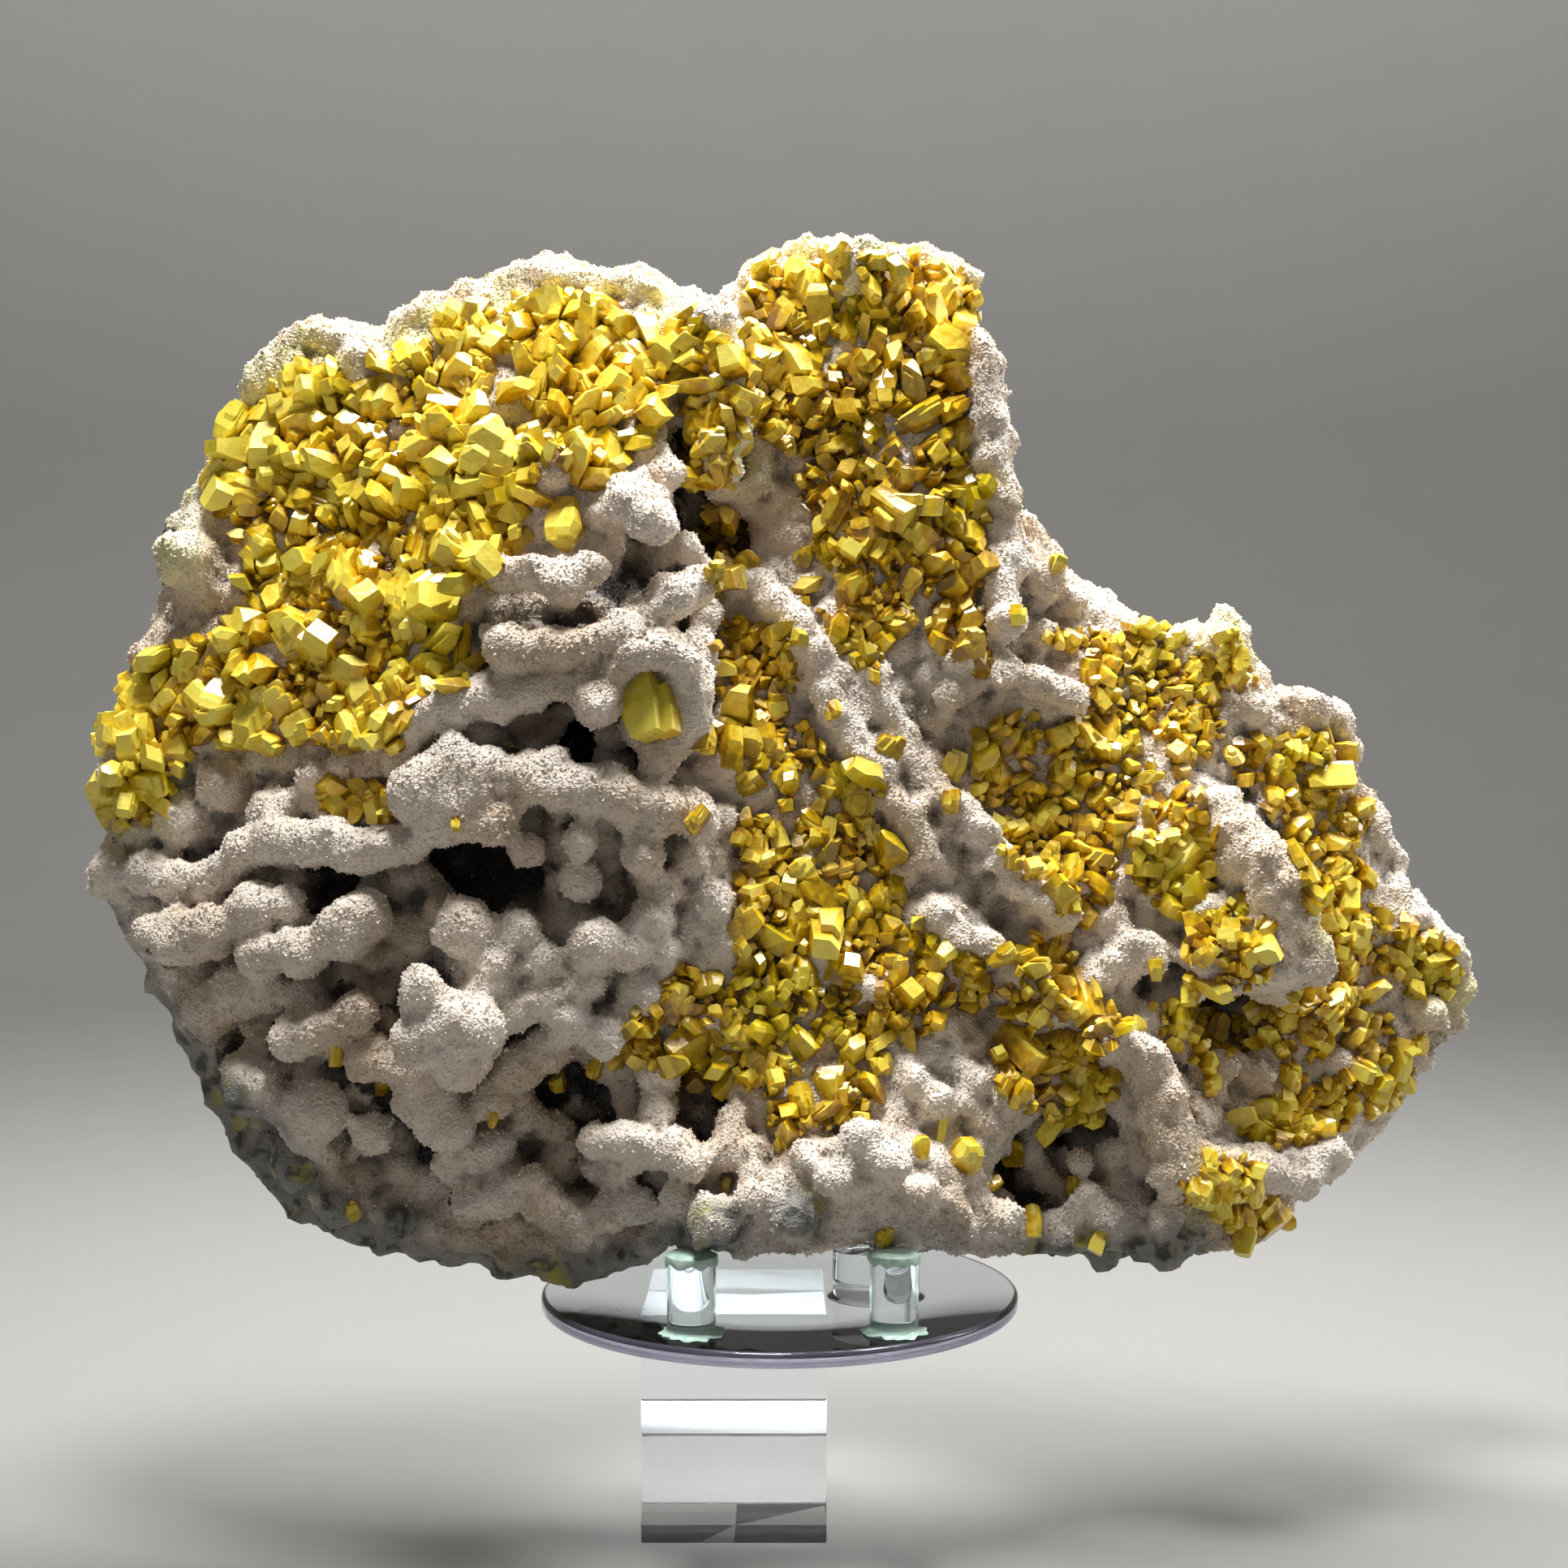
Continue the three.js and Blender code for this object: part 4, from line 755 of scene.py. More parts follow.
def aragonite_colour(tree, place, stone):
    """Colour of the aragonite: white, with beige where iron tints it, in bands about 25 mm wide broken up by
    3 mm clouds, and pale yellow where sulfur dusts it."""
    bands = add_node(tree, "ShaderNodeTexNoise", {"Vector": place, "Scale": 1 / (25 * MM), "Detail": 2.0})
    tint = add_node(tree, "ShaderNodeMapRange", (bands, 0.42, 0.64))
    clouds = add_node(tree, "ShaderNodeTexNoise", {"Vector": place, "Scale": 1 / (3 * MM), "Detail": 2.0})
    cloud = add_node(tree, "ShaderNodeMapRange", (clouds, 0.3, 0.75, 0.0, 0.4))
    dust = add_node(tree, "ShaderNodeAttribute", output="Fac", attribute_name="dusted")
    return layered(tree, stone.white, (tint, layered(tree, stone.beige, (cloud, stone.white))),
                   (dust, stone.dusted))


def aragonite_stone(stone, sulfur):
    """Aragonite, grown as a druse: fine crystals scatter the light, so that it looks like frosted sugar, with
    a little sheen at its edges. Painted shade darkens its colour in its hollows, on the ground that lies
    deep behind its fingers and towards its bottom. The dark olive brown under the sulfur crystals is partly
    the crust's own colour and partly painted shade between them. Where the host rock is bare it is dull
    grey, with weathered green bands about 9 mm wide and 4 mm specks. The grain between the single crystals
    of the druse is drawn 0.6 mm wide, as coarse as it needs to show."""
    material, tree, shader, place = new_material("aragonite_grown_as_druse")
    # The sulfur ground is laid in the depth colour, which is partly painted shade between the crystals.
    hollow_shade, rock, under = (add_node(tree, "ShaderNodeAttribute", output="Fac", attribute_name=name)
                           for name in ("hollow_shade", "rock", "sulfur"))
    bands = add_node(tree, "ShaderNodeTexNoise", {"Vector": place, "Scale": 1 / (9 * MM), "Detail": 3.0})
    green = add_node(tree, "ShaderNodeMapRange", (bands, 0.55, 0.68))
    specks = add_node(tree, "ShaderNodeTexNoise", {"Vector": place, "Scale": 1 / (4 * MM), "Detail": 5.0})
    dark = add_node(tree, "ShaderNodeMapRange", (specks, 0.5, 0.62))
    host_rock = layered(tree, stone.rock, (green, stone.rock_green), (dark, stone.rock_dark))
    grain = add_node(tree, "ShaderNodeTexVoronoi", {"Vector": place, "Scale": 1 / (0.6 * MM)})
    # Painted shade in the hollows, deep behind the fingers and towards the bottom, is laid over the colour.
    set_inputs(tree, shader, {
        "Base Color": layered(tree, aragonite_colour(tree, place, stone), (hollow_shade, stone.hollow_shade),
                              (rock, host_rock), (under, sulfur.depth)),
        "Roughness": add_node(tree, "ShaderNodeMapRange", (rock, 0.0, 1.0, 0.55, 0.9)),
        "Normal": add_node(tree, "ShaderNodeBump", {"Height": grain, "Strength": 0.9, "Distance": 0.35 * MM},
                           invert=True),
        "IOR": ARAGONITE_IOR,
        "Sheen Weight": 0.2,
        "Sheen Roughness": 0.5,
    })
    return material


def aragonite_crystals(stone):
    """Aragonite crystals of the druse: clear tips with bright flat faces that glint and soften the edges."""
    material, tree, shader, place = new_material("aragonite_crystal_tips")
    hollow_shade, sparkle = (add_node(tree, "ShaderNodeAttribute", output="Fac", attribute_name=name)
                       for name in ("hollow_shade", "sparkle"))
    # The crystals take the painted shade of the stone beneath them.
    set_inputs(tree, shader, {
        "Base Color": layered(tree, aragonite_colour(tree, place, stone), (hollow_shade, stone.hollow_shade)),
        "Roughness": add_node(tree, "ShaderNodeMapRange", (sparkle, 0.3, 1.0, 0.6, 0.1)),
        "IOR": ARAGONITE_IOR,
        "Sheen Weight": 0.3,
        "Sheen Roughness": 0.4,
    })
    return material


def sulfur_crystals(sulfur):
    """Sulfur, grown as crystals: resinous gloss, amber where a crystal is thick and pale lemon where it is
    thin or frosted, each face with a tone of its own, 1.6 mm veils inside and growth steps on top. Part of
    the amber is painted shade: crystals are darker toward their feet, near the stone and where their area
    lies in shade. The real steps are finer, and are drawn 2 mm wide so that they show. With transmission,
    crystals that grow into each other came out dark, so the material is opaque and its tones stand for the
    real ones' depth."""
    material, tree, shader, place = new_material("sulfur_grown_as_crystals")
    pale, frost = (add_node(tree, "ShaderNodeAttribute", output="Fac", attribute_name=name)
                   for name in ("pale", "frost"))
    face_tone = add_node(tree, "ShaderNodeMapRange", (frost, 0.0, 1.0, -0.2, 0.3))
    toned = add_node(tree, "ShaderNodeMath", (pale, face_tone), operation="ADD")
    veils = add_node(tree, "ShaderNodeTexNoise", {"Vector": place, "Scale": 1 / (1.6 * MM), "Detail": 3.0})
    shift = add_node(tree, "ShaderNodeMapRange", (veils, 0.3, 0.7, -0.25, 0.25))
    veiled = add_node(tree, "ShaderNodeMath", (toned, shift), operation="ADD")
    to_yellow = add_node(tree, "ShaderNodeMapRange", (veiled, 0.0, 0.45))
    to_pale = add_node(tree, "ShaderNodeMapRange", (veiled, 0.45, 1.0))
    drift = add_node(tree, "ShaderNodeTexNoise", {"Vector": place, "Scale": 1 / (16 * MM), "Detail": 1.0})
    greenish = add_node(tree, "ShaderNodeMapRange", (drift, 0.45, 0.75, 0.0, 0.6))
    clouds = add_node(tree, "ShaderNodeTexNoise", {"Vector": place, "Scale": 1 / (3.5 * MM), "Detail": 2.0})
    uneven = add_node(tree, "ShaderNodeMath", (frost, clouds), operation="MULTIPLY")
    frosted = add_node(tree, "ShaderNodeMapRange", (uneven, 0.2, 0.55, 0.0, 0.45))
    steps = add_node(tree, "ShaderNodeTexNoise", {"Vector": place, "Scale": 1 / (2.0 * MM), "Detail": 4.0,
                                                  "Roughness": 0.6})
    set_inputs(tree, shader, {
        "Base Color": layered(tree, sulfur.amber, (to_yellow, sulfur.yellow), (to_pale, sulfur.pale),
                              (greenish, sulfur.green), (frosted, sulfur.pale)),
        "Roughness": add_node(tree, "ShaderNodeMapRange", (uneven, 0.0, 0.5, 0.24, 0.45)),
        "Normal": add_node(tree, "ShaderNodeBump", {"Height": steps, "Strength": 0.6, "Distance": 0.3 * MM}),
        "IOR": SULFUR_IOR,
        "Specular IOR Level": 0.3,
    })
    return material


def polished_acrylic():
    """Cast acrylic, polished: clear as water, with a faint haze of fine scratches on its faces. The
    scratches are too fine to show, so the haze is drawn in patches 14 mm wide."""
    material, tree, shader, place = new_material("acrylic_polished")
    haze = add_node(tree, "ShaderNodeTexNoise", {"Vector": place, "Scale": 1 / (14 * MM), "Detail": 5.0})
    set_inputs(tree, shader, {
        "Base Color": linear("#f4f8fa"),
        "Roughness": add_node(tree, "ShaderNodeMapRange", (haze, 0.45, 0.8, 0.01, 0.07)),
        "Transmission Weight": 1.0,
        "IOR": ACRYLIC_IOR,
    })
    return material


def rim_acrylic():
    """Cast acrylic, its rim turned and flame polished: a soft gloss, faintly violet through the sheet's
    depth. The turning marks are too fine to show, so they are drawn as 5 mm ripples."""
    material, tree, shader, place = new_material("acrylic_flame_polished_rim")
    ripple = add_node(tree, "ShaderNodeTexNoise", {"Vector": place, "Scale": 1 / (5 * MM), "Detail": 3.0})
    set_inputs(tree, shader, {
        "Base Color": linear("#cfc9e4"),
        "Roughness": add_node(tree, "ShaderNodeMapRange", (ripple, 0.35, 0.7, 0.08, 0.25)),
        "Transmission Weight": 0.9,
        "IOR": ACRYLIC_IOR,
    })
    return material


def sawn_acrylic():
    """Cast acrylic, left as sawn: a frosted face with saw marks 0.8 mm apart and about 9 mm long, which
    shows white through the block."""
    material, tree, shader, place = new_material("acrylic_sawn")
    squeezed = add_node(tree, "ShaderNodeMapping",
                        {"Vector": place, "Scale": (1 / (9 * MM), 1 / (0.8 * MM), 1 / (9 * MM))})
    marks = add_node(tree, "ShaderNodeTexNoise", {"Vector": squeezed, "Scale": 1.0, "Detail": 4.0})
    set_inputs(tree, shader, {
        "Base Color": linear("#f2f5f6"),
        "Roughness": add_node(tree, "ShaderNodeMapRange", (marks, 0.3, 0.7, 0.35, 0.6)),
        "Normal": add_node(tree, "ShaderNodeBump", {"Height": marks, "Strength": 0.5, "Distance": 0.1 * MM}),
        "Transmission Weight": 0.3,
        "IOR": ACRYLIC_IOR,
    })
    return material


def pressed_putty(stand):
    """Mounting putty, pressed flat between peg and stone: pale green-white, matt, with 1.2 mm lumps."""
    material, tree, shader, place = new_material("putty_pressed")
    lumps = add_node(tree, "ShaderNodeTexNoise", {"Vector": place, "Scale": 1 / (1.2 * MM), "Detail": 3.0})
    share = add_node(tree, "ShaderNodeMapRange", (lumps, 0.35, 0.7))
    set_inputs(tree, shader, {
        "Base Color": layered(tree, stand.putty, (share, linear("#cfe0d6"))),
        "Roughness": 0.55,
        "Normal": add_node(tree, "ShaderNodeBump", {"Height": lumps, "Strength": 0.4, "Distance": 0.3 * MM}),
    })
    return material


def seamless_paper(stage):
    """Seamless paper, matt: a pale ground with the faintest mottle. Its fibres are too fine to show, so the
    mottle is drawn 60 mm wide."""
    material, tree, shader, place = new_material("paper_seamless")
    fibres = add_node(tree, "ShaderNodeTexNoise", {"Vector": place, "Scale": 1 / (60 * MM), "Detail": 2.0})
    share = add_node(tree, "ShaderNodeMapRange", (fibres, 0.3, 0.7, 0.0, 0.12))
    set_inputs(tree, shader, {
        "Base Color": layered(tree, stage.paper, (share, linear("#706f6c"))),
        "Roughness": 0.95,
    })
    return material


def arc(centre, radius, start, end, steps):
    """Points of radius and height on an arc, angles in degrees."""
    angles = np.radians(np.linspace(start, end, steps))
    return [(centre[0] + math.cos(t) * radius, centre[1] + math.sin(t) * radius) for t in angles]


def ring_points(rings, sides, centre=(0, 0, 0)):
    """Rings of points about an upright axis, each given as radius and height."""
    angles = np.arange(sides) / sides * 2 * math.pi
    return [(centre[0] + math.cos(t) * radius, centre[1] + math.sin(t) * radius, centre[2] + height)
            for radius, height in rings for t in angles]


def band_faces(rings, sides):
    """Faces between rings of points that follow each other."""
    return [(low + i, low + (i + 1) % sides, low + sides + (i + 1) % sides, low + sides + i)
            for low in range(0, (rings - 1) * sides, sides) for i in range(sides)]


def turned_mesh(name, profile, sides, centre):
    """A closed piece turned about an upright axis, from radius and height in metres, first and last on it."""
    rings = profile[1:-1]
    foot, head = ((centre[0], centre[1], centre[2] + profile[end][1]) for end in (0, -1))
    points = [foot, *ring_points(rings, sides, centre), head]
    top, last = len(points) - 1 - sides, len(points) - 1
    faces = []
    for i in range(sides):
        j = (i + 1) % sides
        faces.append((0, 1 + j, 1 + i))
        faces += [(low + i, low + j, low + sides + j, low + sides + i) for low in range(1, top, sides)]
        faces.append((top + i, top + j, last))
    return smooth_mesh(name, points, faces, 40)


def block_mesh(name, low, high, bevel):
    """A block with broken edges, whose first face is its underside."""
    centre = (low + high) / 2
    half = (high - low) / 2
    corner = half - Vector((bevel, bevel, bevel))
    turns = [math.radians(t) for t in (30, 60, 90)]
    levels = [(-half.z, 0.0), *((-corner.z - math.cos(t) * bevel, math.sin(t) * bevel) for t in turns)]
    levels += [(-height, out) for height, out in reversed(levels)]
    points = []
    for height, out in levels:
        for sign_x, sign_y, start in ((1, 1, 0), (-1, 1, 90), (-1, -1, 180), (1, -1, 270)):
            foot = (centre.x + sign_x * corner.x, centre.y + sign_y * corner.y)
            points += [(x, y, centre.z + height) for x, y in arc(foot, out, start, start + 90, 4)]
    sides = len(points) // len(levels)
    faces = [tuple(reversed(range(sides))), *band_faces(len(levels), sides)]
    faces.append(tuple(range(len(points) - sides, len(points))))
    return smooth_mesh(name, points, faces, 50)


def planes_like(indices):
    """Directions of the faces that a crystal's symmetry repeats."""
    signs = [(a, b, c) for a in (1, -1) for b in (1, -1) for c in (1, -1)]
    faces = {tuple(np.multiply(indices, sign)) for sign in signs}
    return unit(np.array(sorted(faces)) / SULFUR_AXES)


def cut_form(directions, distances):
    """Corners and triangles of the closed form between planes, and the plane of each triangle."""
    triples = np.array(list(combinations(range(len(directions)), 3)))
    systems = directions[triples]
    solvable = np.abs(np.linalg.det(systems)) > 1e-6
    found = np.linalg.solve(systems[solvable], distances[triples[solvable]][..., None])[..., 0]
    found = found[np.all(found @ directions.T <= distances + 1e-7, axis=1)]
    corners = []
    for place in found:
        if all(np.linalg.norm(place - other) > 1e-5 for other in corners):
            corners.append(place)
    corners = np.array(corners)
    triangles, planes = [], []
    for plane, (direction, distance) in enumerate(zip(directions, distances)):
        on_face = np.flatnonzero(np.abs(corners @ direction - distance) < 1e-5)
        if len(on_face) < 3:
            continue
        arms = corners[on_face] - corners[on_face].mean(axis=0)
        across = arms[0] / np.linalg.norm(arms[0])
        turns = np.arctan2(arms @ np.cross(direction, across), arms @ across)
        ordered = on_face[np.argsort(turns)]
        triangles += [(ordered[0], ordered[i], ordered[i + 1]) for i in range(1, len(ordered) - 1)]
        planes += [plane] * (len(ordered) - 2)
    return corners, np.array(triangles), np.array(planes)


def crystal_form(kinds, ranges, rng):
    """A sulfur crystal from its kinds of face, each at its own uneven distance, broken on three random
    planes, and two long, wide and deep."""
    directions = np.concatenate([planes_like(kind) for kind in kinds])
    distances = np.concatenate([
        rng.uniform(low, high) * (1 + rng.uniform(-UNEVENNESS, UNEVENNESS, len(planes_like(kind))))
        for kind, (low, high) in zip(kinds, ranges)
    ])
    directions = np.concatenate((directions, unit(rng.normal(size=(3, 3)))))
    distances = np.concatenate((distances, rng.uniform(0.75, 1.25, 3)))
    corners, triangles, planes = cut_form(directions, distances)
    corners -= (corners.max(axis=0) + corners.min(axis=0)) / 2
    return corners / np.ptp(corners, axis=0) * 2, triangles, planes


def crystal_mesh(name, crystals, tree, tone, rng):
    """One mesh of many crystals, some faces frosted, paler toward their tips and away from the stone: painted
    shade darkens their feet, the parts near the stone and the areas that lie in shade.
    """
    all_points, all_corners, pales, frosts = [], [], [], []
    start = 0
    for (points, corners, planes), turn, centre, out, pale in crystals:
        placed = points @ turn.T
        height = placed @ out
        all_points.append(placed + centre)
        all_corners.append(corners + start)
        # Painted shade in the pale value: darker near the stone, toward a crystal's foot and by the area's
        # shade.
        above = np.array([tree.find_nearest(Vector(place))[3] for place in placed + centre])
        raised = smooth_step(0.5 * MM, 4.0 * MM, above)
        tip = height / np.abs(height).max()
        pales.append(np.clip(pale * 0.7 + 0.3 * tip + 0.7 * raised - 0.35 + tone, 0, 1))
        frosts.append((rng.random(planes.max() + 1) ** 1.6)[planes])
        start += len(points)
    mesh = triangle_mesh(name, np.concatenate(all_points), np.concatenate(all_corners))
    add_values(mesh, "pale", np.concatenate(pales))
    add_values(mesh, "frost", np.concatenate(frosts), "FACE")
    return mesh


def grown_on(form, turn, centre, out, pale, count, rng):
    """Smaller crystals grown on another one, all turned the same way."""
    grown = []
    for _ in range(count):
        share = rng.uniform(0.45, 0.75)
        away = rng.normal(size=3)
        away *= rng.uniform(0.6, 0.85) / np.linalg.norm(away)
        offset = turn @ away
        if offset @ out < 0:
            offset = -offset
        grown.append((form, turn * share, centre + offset, out, min(pale + rng.uniform(-0.1, 0.25), 1.0)))
    return grown


def shown_crystals(area, tree, forms, rng):
    """The best seen crystals of an area, each with smaller ones grown on it, and their own centres."""
    made, centres = [], []
    alone = area == "scattered"
    for x, z, width, length, lean, pale in SHOWN_CRYSTALS[area]:
        place, direction = hit_from_eye(tree, x, z)
        depth = width * (1 if alone else rng.uniform(0.75, 1.0))
        size = np.array((width, depth, length)) / 2 * (sight_scale(place) * SHOWN_SCALE[area]) * MM
        tilt = math.radians(lean)
        axis = np.array((math.sin(tilt), rng.uniform(-0.45, 0.45), math.cos(tilt)))
        turn = turn_along(axis, rng) * size
        centre = place - direction * size[0] * 0.2
        form = forms[rng.integers(len(forms))]
        pale += 0.35 * in_patches(FROSTED_ZONES, np.array((x,)), np.array((z,)), 5)[0]
        made.append((form, turn, centre, -direction, pale))
        made += grown_on(form, turn, centre, -direction, pale, 1 if alone else 3, rng)
        centres.append(centre)
    return made, centres


def finger_balls(tree, rng):
    """Centres and radii of the aragonite balls of the fingers and lumps, each with smaller ones on it."""
    balls = []
    for row in FINGERS:
        for (x1, z1, r1), (x2, z2, r2) in zip(row, row[1:]):
            steps = max(1, round(math.hypot(x2 - x1, z2 - z1) / (1.1 * (r1 + r2) / 2)))
            for share in np.arange(steps) / steps:
                balls.append((x1 + (x2 - x1) * share, z1 + (z2 - z1) * share, r1 + (r2 - r1) * share))
        balls.append(row[-1])
    made = []
    for x, z, radius in (*balls, *LUMPS):
        place, direction = hit_from_eye(tree, x, z)
        is_ridge = x > 0 and z < 200
        bedding, slimmer = (0.15, 0.85) if is_ridge else (0.5, 1)
        size = radius * sight_scale(place) * rng.uniform(0.88, 1.2) * MM * slimmer
        centre = place + direction * size * bedding + rng.normal(size=3) * size * 0.13
        made.append((*centre, size))
        small_balls, largest = (4, 0.5) if x > LEFT_END or z > 195 else (2, 0.4)
        for _ in range(small_balls):
            out = rng.normal(size=3)
            out[1] = -abs(out[1])
            out *= size * rng.uniform(0.72, 0.9) / np.linalg.norm(out)
            made.append((*(centre + out), size * rng.uniform(0.3, largest)))
    return np.array(made)


def averaged(values, mesh, rounds):
    """Rows of values for the points of a mesh, evened out along its edges."""
    edges = read_values(mesh.edges, "vertices", 2, np.int32)
    ends = np.concatenate((edges[:, 0], edges[:, 1]))
    others = np.concatenate((edges[:, 1], edges[:, 0]))
    counts = np.maximum(np.bincount(ends, minlength=len(values)), 1)
    for _ in range(rounds):
        sums = [np.bincount(ends, values[others, i], len(values)) for i in range(values.shape[1])]
        values = np.stack(sums, axis=1) / counts[:, None]
    return values


def sunk_depth(mesh, points, least):
    """How far the ground of the stone lies behind the front of its solid, by area."""
    x, z = seen_at(points)
    added = np.zeros(len(points))
    for outline, depth in DEEP_AREAS:
        added = np.maximum(added, is_inside(outline, x, z) * depth * MM)
    added = averaged(added[:, None], mesh, 10)[:, 0]
    for gap_x, gap_z, half_width, half_height, depth in GAPS:
        away = np.hypot((x - gap_x) / half_width, (z - gap_z) / half_height)
        added += (1 - smooth_step(0.55, 1.3, away)) * depth * MM
    return least + added


def front_thickness(points, tree):
    """How thick the stone is behind each point, along the line of sight."""
    eye = Vector(EYE)
    thickness = []
    for place in points:
        direction = (Vector(place) - eye).normalized()
        distance = tree.ray_cast(Vector(place) + direction * 1.5 * MM, direction)[3]
        thickness.append(distance or 0.0)
    return np.array(thickness)


def depth_below(points, tree):
    """How far points lie behind a surface, along the lines of sight."""
    eye = Vector(EYE)
    depths = []
    for place in points:
        toward = Vector(place) - eye
        distance = tree.ray_cast(eye, toward.normalized())[3]
        depths.append(0.0 if distance is None else toward.length - distance)
    return np.array(depths)


def behind_front(points, normals, tree):
    """How far each point lies from the nearest one that the eye sees, in metres."""
    eye = Vector(EYE)
    seen = []
    for place, normal in zip(points, normals):
        start = Vector(place) + Vector(normal) * 0.6 * MM
        seen.append(tree.ray_cast(start, eye - start)[0] is None)
    seen = np.array(seen)
    found = kdtree.KDTree(int(seen.sum()))
    for number, place in enumerate(points[seen]):
        found.insert(place, number)
    found.balance()
    return np.array([0.0 if shown else found.find(place)[2] for place, shown in zip(points, seen)])


def clear_of_stand(points):
    """Points of the stone moved out of the pegs, the post and the disc."""
    margin = 0.35 * MM
    putty_room = 1.3 * MM
    for name in ("stand_peg_left", "stand_peg_right", "stand_post_back"):
        low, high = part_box(name)
        middle = np.array(((low + high) / 2)[:2])
        radius = (high.x - low.x) / 2 + margin
        top = high.z + (putty_room if "peg" in name else margin)
        across = points[:, :2] - middle
        distance = np.maximum(np.linalg.norm(across, axis=1), 1e-9)
        within = (distance < radius) & (points[:, 2] < top)
        upward = within & (top - points[:, 2] < radius - distance)
        sideways = within & ~upward
        points[upward, 2] = top
        points[sideways, :2] = middle + across[sideways] * (radius / distance[sideways])[:, None]
    points[:, 2] = np.maximum(points[:, 2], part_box("stand_disc")[1].z + margin)
    return points


def sink_ground(body, stone):
    """Rounds the solid's form, sinks its front behind the fingers and breaks up its back."""
    reshape(body, "REMESH", mode="VOXEL", voxel_size=stone.base_voxel)
    reshape(body, "SMOOTH", factor=0.5, iterations=7)
    points, normals = points_of(body.data), normals_of(body.data)
    front = smooth_step(-0.1, 0.5, -normals[:, 1])
    room = front_thickness(points, tree_of(body.data)) * 0.4
    sunk = np.minimum(sunk_depth(body.data, points, stone.sink), room)
    relief = noise_at(points, 11, 3) * 1.1 * MM - front * sunk
    chips = -np.abs(noise_at(points, 16, 3, 5.0)) * 2.4 * MM
    shoulders = noise_at(points, 42, 2, 13.0) * 4.5 * MM
    relief += (chips + shoulders) * (1 - front)
    move_points(body.data, points + normals * relief[:, None])


def grow_knobs(body, cad_tree, voxel):
    """Adds the fingers, lumps and strewn knobs to the ground and makes one closed skin of them all."""
    rng = np.random.default_rng(STONE_SEED)
    balls = finger_balls(cad_tree, rng)
    centres, radii = balls[:, :3], balls[:, 3]
    points, corners = points_of(body.data), triangles_of(body.data)
    x, z = seen_at(points[corners].mean(axis=1))
    facing = areas_across(points, corners)[0][:, 1]
    grown = 1 - in_patches(ROCK_PATCHES, x, z, 2)
    weights = np.where(facing < 0, 1.0, 0.25) * np.maximum(grown, 0.02)
    knobbly = (is_inside(KNOB_AREA, x, z) & (facing < 0)) * grown
    for chances, (tries, gap, least, most, bedding) in (
        (weights * (1 - 0.8 * knobbly), GROUND_KNOBS),
        (knobbly, LARGE_KNOBS),
        (weights, BEADS),
    ):
        places, directions, _ = scatter(points, corners, chances, tries, rng)
        kept = spaced_out(places, gap * MM)
        sizes = rng.uniform(least, most, len(kept)) * MM
        centres = np.concatenate((centres, places[kept] - directions[kept] * sizes[:, None] * bedding))
        radii = np.concatenate((radii, sizes))
    spins = unit(rng.normal(size=(len(centres), 3)))
    turns = frames_along(spins, rng.uniform(0, 2 * math.pi, len(centres))) * radii[:, None, None]
    ball_points, ball_corners = repeated(*ball(2), turns, centres)
    old = body.data
    body.data = triangle_mesh("stone_form", np.concatenate((points, ball_points)),
                              np.concatenate((corners, ball_corners + len(points))))
    bpy.data.meshes.remove(old)
    reshape(body, "REMESH", mode="VOXEL", voxel_size=voxel)
    reshape(body, "SMOOTH", factor=0.5, iterations=2)
    reshape(body, "DECIMATE", ratio=MOST_TRIANGLES / len(triangles_of(body.data)))


def sulfur_cover(points, normals, x, z, behind):
    """Where sulfur covers the stone, from 0 to 1: ragged patches inside its areas, on the front."""
    covered = np.zeros(len(points))
    right = x > RIGHT_START
    patchy = np.where(right, noise_at(points, 7, 3, 21.0), noise_at(points, 11, 3, 21.0))
    edge_x, edge_z = (noise_at(points, 7, 2, offset) * 2.2 for offset in (31.0, 41.0))
    for area, outlines in SULFUR_AREAS.items():
        for outline in outlines:
            within = is_inside(outline, x + edge_x, z + edge_z) & (patchy < COVER_LEVEL[area])
            covered = np.maximum(covered, within)
    covered *= 1 - in_patches(BARE_PATCHES, x, z, 1)
    covered *= (x < LEFT_END) | (noise_at(points, 4.5, 2, 51.0) < 0.2)
    covered *= behind < 5 * MM
    covered *= -normals[:, 1] > np.where(right, 0.3, 0.1)
    return covered


